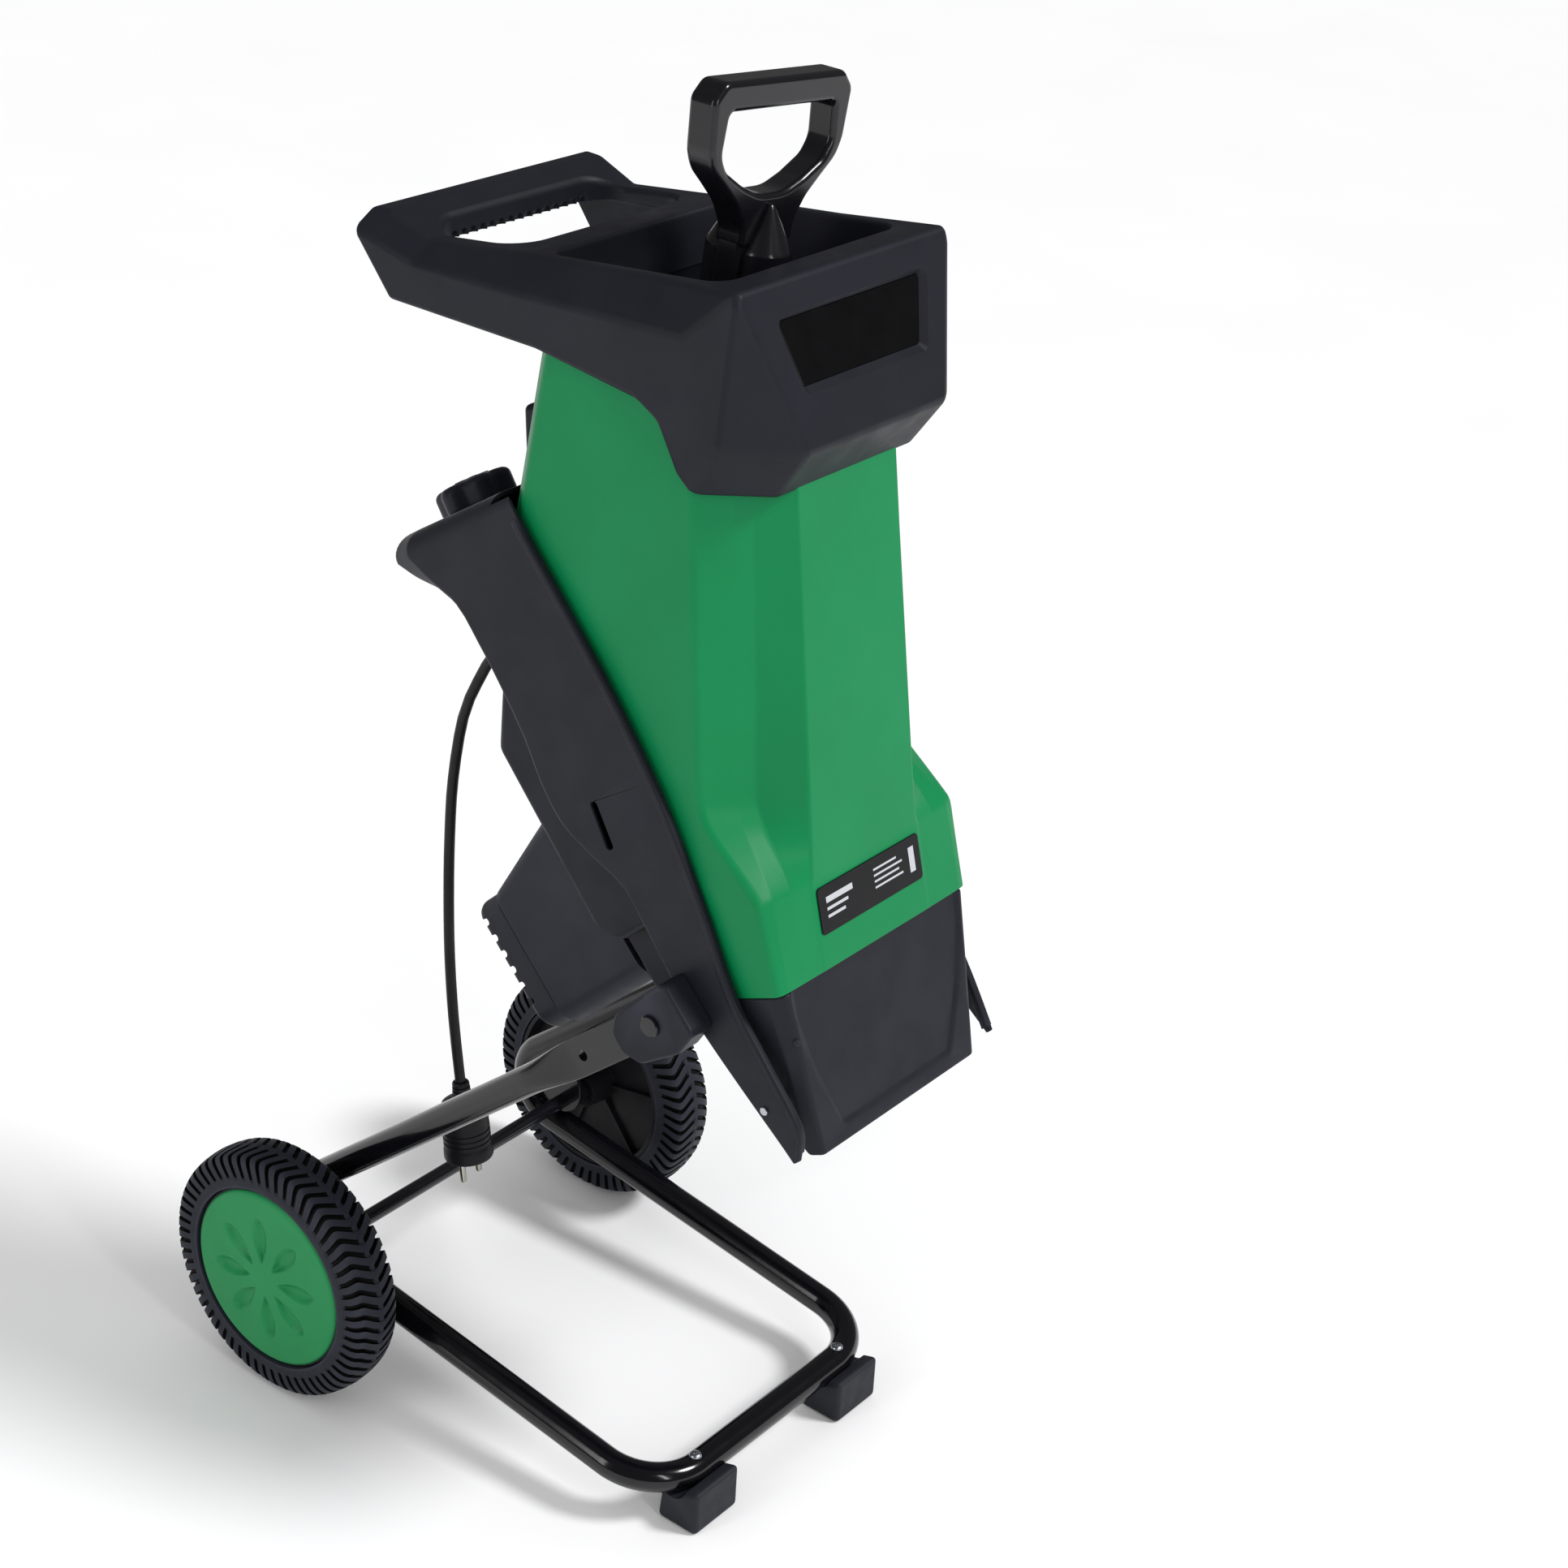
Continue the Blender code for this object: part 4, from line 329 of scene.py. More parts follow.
def loft(rings, place=HOUSING, finish=SLATE_PP, closed=False):
    """A skin through rings of points, joined end to end when closed, else capped. A ring of one
    point is a tip."""
    sides = max(len(ring) for ring in rings)
    verts, rows = [], []
    for ring in rings:
        rows.append(range(len(verts), len(verts) + len(ring)))
        verts += ring
    faces = []
    for row, other in zip(rows, rows[1:] + rows[:closed]):
        for i in range(sides):
            j = (i + 1) % sides
            face = dict.fromkeys([row[i % len(row)], row[j % len(row)], other[j % len(other)],
                                  other[i % len(other)]])
            if len(face) > 2:
                faces.append(list(face))
    if not closed:
        faces += [list(row) for row in (rows[0], rows[-1]) if len(row) > 2]
    return solid(verts, faces, place, finish)


def prism(outline, axis, low, high, place=HOUSING, finish=SLATE_PP):
    """An outline across an axis, drawn out from low to high along it."""
    return loft([[AXES[axis](a, b, c) for a, b in outline] for c in (low, high)], place, finish)


def turned(profile, sides, place=HOUSING, finish=SLATE_PP, axis="z"):
    """A solid of revolution from a closed profile of (distance along the axis, radius)."""
    return loft([[AXES[axis](x, y, along) for x, y in (circle(r, sides) if r else [(0, 0)])]
                 for along, r in profile], place, finish, closed=True)


def circle(radius, sides, at=(0, 0)):
    return [(at[0] + radius * cos(2 * pi * i / sides), at[1] + radius * sin(2 * pi * i / sides))
            for i in range(sides)]


def rectangle(x0, x1, y0, y1):
    return [(x0, y0), (x1, y0), (x1, y1), (x0, y1)]


def box(x, y, z, place=HOUSING, finish=SLATE_PP):
    return prism(rectangle(*x, *y), "z", *z, place, finish)


def rounded(outline, radius, steps=6):
    """The outline with its corners turned into arcs; radius is one value or one per corner."""
    least, share = 0.4, 0.48    # an arc's smallest reach, and its largest part of a side
    result = []
    radii = radius if hasattr(radius, "__len__") else [radius] * len(outline)
    for i, corner in enumerate(outline):
        if radii[i] < 0.05:
            result.append(tuple(corner))
            continue
        corner = Vector(corner)
        before, after = Vector(outline[i - 1]) - corner, Vector(outline[(i + 1) % len(outline)]) - corner
        room = share * min(before.length, after.length)
        before, after = before.normalized(), after.normalized()
        opening = acos(max(-1, min(1, before.dot(after))))
        reach = min(radii[i] / tan(opening / 2), room)
        if reach < least:   # nearly straight: the same number of points, spread along both sides
            spread = [2 * k / steps - 1 for k in range(steps + 1)]
            result += [tuple(corner + (before if s < 0 else after) * min(least, room) * abs(s))
                       for s in spread]
            continue
        r = reach * tan(opening / 2)
        centre = corner + (before + after).normalized() * (r / sin(opening / 2))
        first, last = corner + before * reach - centre, corner + after * reach - centre
        start = atan2(first.y, first.x)
        sweep = (atan2(last.y, last.x) - start + pi) % (2 * pi) - pi
        result += [(centre.x + r * cos(start + sweep * k / steps),
                    centre.y + r * sin(start + sweep * k / steps)) for k in range(steps + 1)]
    return result


def inset(outline, distance):
    """The outline moved in by a distance along its corner bisectors (out when negative)."""
    area = sum(a[0] * b[1] - b[0] * a[1] for a, b in zip(outline, outline[1:] + outline[:1]))
    turn = 1 if area > 0 else -1
    result = []
    for i, p in enumerate(outline):
        before = (Vector(p) - Vector(outline[i - 1])).normalized()
        after = (Vector(outline[(i + 1) % len(outline)]) - Vector(p)).normalized()
        normal = Vector((-before.y, before.x)) * turn
        middle = (normal + Vector((-after.y, after.x)) * turn).normalized()
        move = middle * (distance / max(0.3, middle.dot(normal)))
        result.append((p[0] + move.x, p[1] + move.y))
    return result


def eased(points, t):
    """The value at t on a smooth curve through (t, value) points."""
    last = len(points) - 1
    k = max(0, min(last - 1, sum(1 for p in points[1:-1] if p[0] <= t)))

    def slope(i):
        a, b = points[max(0, i - 1)], points[min(last, i + 1)]
        return (b[1] - a[1]) / (b[0] - a[0])
    (t0, v0), (t1, v1) = points[k], points[k + 1]
    span = t1 - t0
    s = max(0, min(1, (t - t0) / span))
    return ((2 * s ** 3 - 3 * s * s + 1) * v0 + (s ** 3 - 2 * s * s + s) * span * slope(k)
            + (3 * s * s - 2 * s ** 3) * v1 + (s ** 3 - s * s) * span * slope(k + 1))


def straight(points, t):
    """The value at t on the broken line through (t, value) points."""
    for (t0, v0), (t1, v1) in zip(points, points[1:]):
        if t <= t1:
            return v0 + (v1 - v0) * max(0, (t - t0) / (t1 - t0))
    return points[-1][1]


def softened(obj, width, segments=3, angle=25, clamp=True):
    """Rounds an object's edges with a modifier."""
    mod = obj.modifiers.new("Edge radius", "BEVEL")
    mod.width = width * MM
    mod.segments = segments
    mod.limit_method = "ANGLE"
    mod.angle_limit = radians(angle)
    mod.use_clamp_overlap = clamp
    mod.miter_outer = "MITER_ARC"
    return obj


def settle(obj):
    """Turns an object's modifiers into its mesh."""
    if obj.modifiers:
        graph = bpy.context.evaluated_depsgraph_get()
        mesh = bpy.data.meshes.new_from_object(obj.evaluated_get(graph))
        obj.modifiers.clear()
        obj.data = mesh
    return obj


def cut(obj, *tools):
    for tool in tools:
        mod = obj.modifiers.new("Cut", "BOOLEAN")
        mod.solver = "EXACT"
        mod.object = settle(tool)
        tool["spent"] = True
    return obj


def piece(name, parts, node, smooth=35):
    """Joins parts into one piece, which stands for a CAD node and rides on that node's body."""
    finishes = []
    joined = bmesh.new()
    for part in parts:
        settle(part)
        start = len(joined.faces)
        joined.from_mesh(part.data)
        joined.faces.ensure_lookup_table()
        for mat in part.data.materials:
            if mat not in finishes:
                finishes.append(mat)
        for face in joined.faces[start:]:
            face.material_index = finishes.index(part.data.materials[face.material_index])
    bmesh.ops.dissolve_degenerate(joined, dist=0.001 * MM, edges=joined.edges)
    mesh = bpy.data.meshes.new(name)
    joined.to_mesh(mesh)
    joined.free()
    for mat in finishes:
        mesh.materials.append(mat)
    mesh.shade_smooth()
    mesh.set_sharp_from_angle(angle=radians(smooth))
    obj = placed(name, mesh)
    keep_flat = obj.modifiers.new("Flat faces", "WEIGHTED_NORMAL")
    keep_flat.keep_sharp = True
    keep_flat.weight = 80
    for spare in [*parts, *[o for o in bpy.data.objects if "spent" in o]]:
        bpy.data.objects.remove(spare)
    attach(obj, frame["nodes"][node]["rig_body"])
    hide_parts(node)
    return obj


def dressed(node, finish, edge, segments=2):
    """A CAD node's shape with its edges rounded off."""
    mesh = frame["nodes"][node].data.copy()
    bm = bmesh.new()
    bm.from_mesh(mesh)
    bmesh.ops.remove_doubles(bm, verts=bm.verts, dist=0.01 * MM)
    bmesh.ops.dissolve_limit(bm, angle_limit=radians(2), verts=bm.verts, edges=bm.edges)
    bm.to_mesh(mesh)
    bm.free()
    mesh.materials.clear()
    mesh.materials.append(finish)
    piece(node + "_detail", [softened(placed("part", mesh), edge, segments, 30)], node)


# Power lead: a short lead with its plug, hanging behind the base

BACK_W, STEP_W, STEP_HALF = -445, -383, 95      # the base's back, its step and half its width
CORD_DIAMETER = 8
BORE = CORD_DIAMETER / 2 + 0.2
LEAD_ROUTE = ((-45, -103.9, 632.4), (-45, -89.8, 618.3), (-45, -75.7, 604.2), (-44, -57, 582),
              (-43, -41, 553), (-42, -28, 520), (-41, -20, 468), (-40, -18, 420),
              (-40, -19.5, 368), (-40, -23, 318), (-40, -29, 270), (-39.5, -36, 228),
              (-39, -41, 200))


def smooth_points(route, spacing):
    """Points on a smooth curve through the route."""
    result = []
    last = len(route) - 1
    for i in range(last):
        p0, p1, p2, p3 = (Vector(route[max(0, min(last, i + d))]) for d in (-1, 0, 1, 2))
        pieces = max(1, round((p2 - p1).length / spacing))
        for k in range(pieces):
            t = k / pieces
            result.append(0.5 * (2 * p1 + (p2 - p0) * t + (2 * p0 - 5 * p1 + 4 * p2 - p3) * t * t
                                 + (3 * p1 - p0 - 3 * p2 + p3) * t ** 3))
    return result + [Vector(route[-1])]


def plug(end, fall):
    """Moulded plug: ribbed relief, waisted body with grip lines, two pins."""
    place = GROUND @ Matrix.Translation(end) @ fall.to_track_quat("Z", "Y").to_matrix().to_4x4()
    profile = [(16, BORE), (16, 5.9)]
    for k in range(4):
        top = 15 - 3.2 * k
        profile += [(top, 6.5 + 0.25 * k), (top - 1.8, 6.6 + 0.25 * k), (top - 2, 5.5 + 0.35 * k),
                    (top - 3, 5.6 + 0.35 * k)]
    profile += [(1.8, 9), (0.6, 14), (-1, 16.2), (-6, 17.6), (-12, 18.4), (-18, 18)]
    for k in range(4):
        z = -19.5 - 4.5 * k
        profile += [(z, 18.2), (z - 2.6, 18.3), (z - 3.1, 17.4), (z - 4, 17.4)]
    profile += [(-39, 18.8), (-45.6, 19), (-47.4, 18.2), (-48, 17), (-48, 0), (-0.3, 0), (-0.3, BORE)]
    pins = [turned([(-66, 0), (-66, 1.3), (-65.4, 2), (-64.4, 2.4), (-47, 2.4), (-47, 0)],
                   24, place @ Matrix.Translation((x, 0, 0)), PIN_PLATE) for x in (-9.5, 9.5)]
    return piece("plug_body", [turned(profile, 64, place, NYLON), *pins], "plug")


def gland():
    """Strain relief on the back of the base: collar and a tapered sleeve with bending slots."""
    profile = [(-8, BORE), (-8, 7), (0.3, 7), (0.3, 9.6), (0.7, 10), (2.6, 10), (3, 9.6), (4.5, 7.4)]
    for k in range(5):
        low, r = 6 + 4 * k, 6.9 - 0.25 * k
        profile += [(low, r), (low + 2.4, r - 0.1), (low + 2.7, r - 1), (low + 3.6, r - 1)]
    profile += [(25.6, 5.5), (26, 5.2), (26, BORE)]
    place = frame_under(BASE, (-45, BACK_W, 303), (-90, 0, 0))
    piece("lead_gland", [turned(profile, 40, place, NYLON)], "cord_gland")


def lead():
    points = smooth_points(LEAD_ROUTE, CORD_DIAMETER * 2.2)
    curve = bpy.data.curves.new("power_lead", "CURVE")
    curve.dimensions = "3D"
    spline = curve.splines.new("POLY")
    spline.points.add(len(points) - 1)
    for point, co in zip(spline.points, points):
        point.co = (*(GROUND @ co), 1)
    curve.bevel_depth = CORD_DIAMETER / 2 * MM
    curve.bevel_resolution = 6
    curve.use_fill_caps = True
    curve.materials.append(VINYL)
    flex = placed("power_lead", curve)
    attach(flex, "stand")
    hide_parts("cord")
    plug_body = plug(points[-1], (points[-3] - points[-1]).normalized())


gland()
lead()


# Stand: bent tube, axle, wheels and feet

TUBE_R = 11
FRAME_HALF = 130
FRONT_BAR = Vector((-320, 35.5))
REAR_BEND, FRONT_BEND = 34, 48
ARM_BOLT = (-432, 23.5)         # w, u in the base's frame: out along the shaft and up
ARM_FLAT = (28, 5)
BEND_CENTRE = Vector((4, 114.6642))             # y, z above the ground, of the rear bend
REAR_CORNER = Vector((81.421, 91.0549))         # where the straight runs would meet behind it
ARM_BOLT_AT = Vector((-288.8531, 422.0871))
ARM_ALONG = (ARM_BOLT_AT - REAR_CORNER).normalized()


def stand_path():
    """The tube's centre line, from one pressed end round to the other."""
    end = ARM_BOLT_AT + ARM_ALONG * (ARM_FLAT[0] * 0.62)
    left = [Vector((-FRAME_HALF, *p)) for p in (end, REAR_CORNER, FRONT_BAR)]
    corners = left + [Vector((-p.x, p.y, p.z)) for p in reversed(left)]
    flats = [end - ARM_ALONG * d for d in (0, 50, 105, 112, 120, 128, 136, 144, 152, 160)]
    path = [Vector((-FRAME_HALF, *p)) for p in flats]
    for before, corner, after, r in zip(corners, corners[1:], corners[2:],
                                        (REAR_BEND, FRONT_BEND, FRONT_BEND, REAR_BEND)):
        before, after = (before - corner).normalized(), (after - corner).normalized()
        opening = acos(before.dot(after))
        centre = corner + (before + after).normalized() * (r / sin(opening / 2))
        first = corner + before * (r / tan(opening / 2)) - centre
        axis = before.cross(after).normalized()
        steps = ceil((pi - opening) / radians(5))
        for k in range(steps + 1):
            a = (pi - opening) * k / steps
            path.append(centre + first * cos(a) - axis.cross(first) * sin(a))
    return path + [Vector((FRAME_HALF, *p)) for p in reversed(flats)]


STAND_PATH = stand_path()


def stand_tube():
    """Round tube whose ends are pressed flat where the base is bolted on."""
    sides = 40
    rings = []
    side = Vector((1, 0, 0))
    for i, point in enumerate(STAND_PATH):
        travel = min((point - STAND_PATH[0]).length, (point - STAND_PATH[-1]).length)
        blend = min(1, max(0, (travel - 105) / 55))     # 0 where pressed flat, 1 where round
        blend = blend * blend * (3 - 2 * blend)
        high, thick = (size / 2 + (TUBE_R - size / 2) * blend for size in ARM_FLAT)
        ahead, behind = STAND_PATH[min(i + 1, len(STAND_PATH) - 1)], STAND_PATH[max(i - 1, 0)]
        along = (ahead - behind).normalized()
        side = (side - along * side.dot(along)).normalized()
        across = along.cross(side).normalized()
        ring = []
        for k in range(sides):
            c, s = cos(2 * pi * k / sides), sin(2 * pi * k / sides)
            ring.append(point + side * (thick * abs(c) ** (0.35 + 0.65 * blend) * (1 if c > 0 else -1))
                        + across * (high * abs(s) ** (0.6 + 0.4 * blend) * (1 if s > 0 else -1)))
        rings.append(ring)
    tube = loft(rings, GROUND, ENAMEL)
    gussets = []
    for _, side in SIDES:
        x = side * FRAME_HALF
        disc = circle(REAR_BEND - TUBE_R + 1, 48, BEND_CENTRE)
        gussets.append(softened(prism(disc, "x", x - 2, x + 2, GROUND, ENAMEL), 0.6, 2, 60))
        spare = circle(4, 24, ARM_BOLT_AT - ARM_ALONG * 80)
        cut(tube, prism(spare, "x", x - 20, x + 20, GROUND))
    piece("tube_frame", [tube, *gussets], "stand_tube")


def feet():
    """Rubber blocks that clasp the front bar, each held by a screw from above."""
    y, bar_y, top = FRONT_BAR.x - 6, FRONT_BAR.x, FRONT_BAR.y + TUBE_R
    for name, side in SIDES:
        x = side * 86
        outline = [(y - 18, 0), (y + 18, 0), (y + 16.5, 26), (y - 16.5, 37)]
        block = softened(prism(outline, "x", x - 25, x + 25, GROUND, FOOT_RUBBER), 4.5, 5)
        cut(block, prism(circle(TUBE_R + 0.5, 48, FRONT_BAR), "x", x - 40, x + 40, GROUND))
        piece("foot_block_" + name, [block], "foot_" + name)
        place = frame_under(GROUND, (x, bar_y, top))
        head = turned([(14 - top, 0), (14 - top, 2), (0.3, 2), (0.3, 4.4), (0.8, 4.7),
                       (1.8, 4.4), (2.6, 3.4), (3.1, 1.8), (3.2, 0)], 32, place, ZINC)
        cut(head, *[prism(rectangle(-0.5, 0.5, -2.6, 2.6), "z", 1.8, 5,
                          frame_under(place, turn=(0, 0, turn))) for turn in (0, 90)])
        piece("foot_screw_head_" + name, [head], "foot_screw_" + name)


OUTER = 205
TYRE_OUT, TYRE_IN = 203, 161
RIBS = 60
# share of the tread's half width in mm, radius, groove depth, lean of the ribs in pitches
HALF_TREAD = (
    (0, 73.3, 0, 0), (0, 76, 0, 0), (0, 79, 0, 0), (0.3, 80, 0, 0), (0.4, 81.5, 1.1, 0.04),
    (0.5, 85, 1.7, 0.12), (0.8, 89, 2.2, 0.22), (1.5, 92.5, 2.7, 0.34), (2.8, 95.2, 3, 0.44),
    (4.4, 96.9, 3.2, 0.5), (6.4, 97.9, 3, 0.44), (9, 98.6, 2.6, 0.28), (12, 99.2, 2.2, 0.08),
    (15.5, 99.6, 1.9, -0.12), (18.4, 99.9, 1.6, -0.26), (19.6, 99.9, 0.5, -0.3), (21, 100, 0.5, -0.32))


def tyre(name, place):
    """Moulded tyre: radial ribs on both walls that turn over the shoulders into a herringbone."""
    profile = [(TYRE_OUT - a, *rest) for a, *rest in HALF_TREAD]
    profile += [(TYRE_IN + a, *rest) for a, *rest in reversed(HALF_TREAD[:-1])]
    count = len(profile)
    into = []       # the direction into the tyre at each point
    for i in range(count):
        (x0, r0, *_), (x1, r1, *_) = profile[max(0, i - 1)], profile[min(count - 1, i + 1)]
        into.append(Vector((r0 - r1, x1 - x0)).normalized())
    # where each point of a rib lies in its pitch, and whether it is down in the groove
    steps = ((0.02, 0), (0.30, 0), (0.60, 0), (0.66, 1), (0.82, 1), (0.96, 1))
    rings = []
    for k in range(RIBS):
        for at, down in steps:
            ring = []
            for (x, r, depth, lean), way in zip(profile, into):
                angle = 2 * pi * (k + at + lean) / RIBS
                x, r = x + way.x * depth * down, r + way.y * depth * down
                ring.append((x, r * cos(angle), r * sin(angle)))
            rings.append(ring)
    body = loft(rings, place, TYRE, closed=True)
    body.data.materials.append(GROOVE_SHADE)
    # Painted shade: faces down in the deeper grooves take the near-black groove finish.
    for face in body.data.polygons:
        depth = min(profile[v % count][2] for v in face.vertices)
        if face.index // count % len(steps) >= 2 and depth > 1:
            face.material_index = 1
    piece("tyre_ribbed_" + name, [body], "tyre_" + name, 40)


def wheel_cap(name, place, mirror):
    """Shallow dome with a rolled rim and eight pressed leaves."""
    turns = 160

    def leaf_depth(r, angle):
        off = (angle - radians(98 if mirror else 82) + pi / 8) % (pi / 4) - pi / 8
        along, side = (r * cos(off) - 33) / 19.5, r * sin(off)
        if abs(along) >= 1:
            return 0
        wide = 6.8 * (1 - along ** 2) * (1 + 0.35 * along)
        share = min(1, abs(side) / max(wide, 0.01))
        return 3.8 * (1 - share ** 2.2) * min(1, (1 - abs(along)) * 3)
    rings = [[(OUTER, 0, 0)]]
    for r in [4, 7, 9, *[11 + 1.4 * k for k in range(36)], 62.5, 64.5, 66, 67.2]:
        dome = OUTER - 2 * (r / 67.2) ** 2
        rings.append([(dome - leaf_depth(r, 2 * pi * i / turns), y, z)
                      for i, (y, z) in enumerate(circle(r, turns))])
    for x, r in ((202.6, 68.4), (202.1, 69.5), (201.4, 70.4), (200.9, 70.8), (200.5, 71),
                 (200.5, 67), (199.6, 66)):
        rings.append([(x, *p) for p in circle(r, turns)])
    piece("cap_leafed_" + name, [loft(rings, place, CAP_GREEN)], "wheel_cap_" + name)


def nut(name, node, place, across, bore, low, high, edge):
    """A hexagon nut about a frame's x axis; bore is a circle's radius and sides."""
    body = softened(prism(circle(across, 6), "x", low, high, place, ZINC), edge, 2)
    cut(body, prism(circle(*bore), "x", low - 6, high + 6, place))
    piece(name, [body], node)


def wheels():
    bore = 6.3
    hub_in, hub_out = FRAME_HALF + TUBE_R + 11, OUTER - 20
    rim, web = 72.7, TYRE_IN + 14.7
    seat, step = FRAME_HALF + 2.3, FRAME_HALF + TUBE_R + 1
    for name, side in SIDES:
        place = frame_under(AXLE, turn=(0, 0, 180 if side < 0 else 0))
        tyre(name, place)
        wheel_cap(name, place, side < 0)
        hub = turned([(hub_in, bore), (hub_in, 15), (web, 18), (web - 1, 30), (web, 44),
                      (web, rim - 6), (web - 4, rim - 5), (TYRE_IN + 1, rim - 4), (TYRE_IN + 1, rim),
                      (200.2, rim), (200.2, rim - 4), (web + 4, rim - 5), (web + 4, 18),
                      (hub_out, 15), (hub_out, bore)], 96, place, NYLON, "x")
        ribs = [softened(prism(rectangle(-1.2, 1.2, 16, rim - 4.6), "x", web - 4.5, web + 1,
                               frame_under(place, turn=(60 * k + 20, 0, 0)), NYLON), 0.5, 2)
                for k in range(6)]
        piece("hub_dish_" + name, [softened(hub, 0.8, 2, 30), *ribs], "wheel_hub_" + name)
        spacer = turned([(seat, bore), (seat, bore + 0.9), (step, bore + 0.9), (step, 9.4),
                         (step + 0.6, 10), (hub_in - 0.9, 10), (hub_in - 0.3, 9.4),
                         (hub_in - 0.3, bore)], 48, place, NYLON, "x")
        piece("spacer_sleeve_" + name, [spacer], "axle_spacer_" + name)
        nut("axle_nut_hex_" + name, "axle_nut_" + name, place, 11, (bore, 32), hub_out + 0.3,
            hub_out + 10, 0.8)
    end = OUTER - 8.5
    bar = turned([(-end, 0), (-end, 5), (1 - end, 6), (end - 1, 6), (end, 5), (end, 0)], 48,
                 AXLE, ENAMEL, "x")
    piece("axle_bar", [bar], "axle")


stand_tube()
feet()
wheels()


# Base tray

BASE_HALF, WALL = 116, 3
FRONT_EDGE = (      # of the side walls: u, w
    (-102, -467.5), (-90, -479), (-80, -483), (-40, -485.5), (10.4, -489.2), (67.6, -504.8),
    (139.1, -521.2), (212.7, -530.3), (289.8, -534), (330, -535), (372, -538))
RIGHT_EDGE = ((-102, -464), (-62, -473), (10.4, -486)) + FRONT_EDGE[5:]
REAR_EDGE = (       # of the side walls, which turn in to the back plate there
    (-102, -459.6), (3.6, -446), (39.7, -446), (91.7, -449), (111, -449.5), (145, -436),
    (168.5, -428.5), (198, -430), (231, -438), (270, -443), (300, -445), (330, -445), (372, -430))
FOOT_U, BEND_U, TOP_U = -102, 330, 372       # where the tray begins, flares and ends
END_SLOPE = 0.163


def end_wall_u(w):
    """Height of the tray's top end wall, outer face, at depth w."""
    return 391.5 + END_SLOPE * (w + 408)


def back_y(z):
    """The housing's back face at height z in its frame."""
    return -181 - 0.243 * (z - 610)


def tray_plan(u, thick, flare):
    """The tray's outline at height u: front edge, side wall, then round the back to the other."""
    half = BASE_HALF - thick
    left, right = (eased(edge, u) - 30 * (thick > 0) for edge in (FRONT_EDGE, RIGHT_EDGE))
    rear = eased(REAR_EDGE, u) - thick
    back = min(BACK_W, rear + thick) - thick
    plan = [(-half, rear), (-half + 9, rear + 26 * flare), (-half + 26, back + 37 * flare),
            (-half + 58, back + 66 * flare)]
    plan = [(-half, left), *plan, (0, back + 82 * flare), *[(-x, w) for x, w in plan[::-1]],
            (half, right)]
    return rounded(plan, (0, 6, 10, 20, 40, 80, 40, 20, 10, 6, 0))


def tray_skin(thick):
    rings = [[(x, w, u) for x, w in tray_plan(max(u, FOOT_U), thick, 0)]
             for u in [FOOT_U - thick, *range(-90, 330, 10)]]
    turn = 14 - thick     # radius between the walls and the end wall

    def top_ring(t, lower, narrower):
        flare = eased(((0, 0), (0.35, 0.30), (0.70, 0.75), (1, 1)), t)
        plan = tray_plan(BEND_U + (TOP_U - BEND_U) * t, thick, flare)
        front, deep = plan[0][1], max(w for _, w in plan)
        across, along = 1 - narrower / (BASE_HALF - thick), 1 - narrower / (deep - front)
        return [(x * across, front + (w - front) * along,
                 BEND_U + (end_wall_u(w) - thick - turn - BEND_U) * t + lower) for x, w in plan]
    rings += [top_ring(k / 16, 0, 0) for k in range(17)]
    rings += [top_ring(1, turn * sin(k * pi / 16), turn * (1 - cos(k * pi / 16))) for k in range(1, 9)]
    return loft(rings, BASE)


def in_base(outline, low, high, finish=SLATE_PP):
    """A block across the machine from a (u, w) outline."""
    return prism([(w, u) for u, w in outline], "x", *sorted((low, high)), BASE, finish)


def base_tray():
    tray = tray_skin(0)
    cut(tray, tray_skin(WALL), box((-112.6, 112.6), (-580, -380), (-170, 2), BASE),
        box((-6, 6), (-560, -390), (360, 420), BASE))
    behind = 8
    cut(tray, prism([(-460, 520), (back_y(520) + behind, 520), (back_y(700) + behind, 700),
                     (-460, 700)], "x", -112.6, 112.6))
    for side in (-1, 1):
        cut(tray, in_base(rounded([(169, -469.5), (171, -464), (138, -456), (136, -462)], 2.6, 5),
                          side * 148, side * 96))
    softened(settle(tray), 0.8, 2, 62, clamp=False)
    parts = [tray]
    for _, side in SIDES:
        edge = FRONT_EDGE if side < 0 else RIGHT_EDGE
        section = rounded(rectangle(side * 110.4, side * 117.2, -0.4, 6.5), 2.2, 4)     # rolled rim
        parts.append(loft([[(x, eased(edge, u) + w, u) for x, w in section]
                           for u in range(-98, 358, 8)], BASE))
        ear = rounded([(4, -462), (-2, -440), (4, -404), (16, -394), (32, -394), (42, -406), (44, -440),
                       (44, -462)], (6, 10, 10, 10, 10, 10, 10, 6), 5)
        ear = softened(in_base(ear, side * 138, side * (BASE_HALF - 1)), 2.5, 3, 50)
        slot_x = sorted(side * (FRAME_HALF + s * 2.8) for s in (-1, 1))
        parts.append(cut(ear, box(slot_x, (-451.4, -372), (7, 40), BASE)))
    back = BACK_W - 1.5
    step = [(82, back), (82, STEP_W - 14), (98, STEP_W), (238, STEP_W - 5), (272, STEP_W - 38),
            (272, back)]
    plinth = rectangle(32, 189, back, STEP_W)
    parts += [softened(in_base(outline, -half, half), 7, 5)
              for outline, half in ((step, STEP_HALF), (plinth, 75))]
    piece("base_moulding", parts, "base_tray", 40)


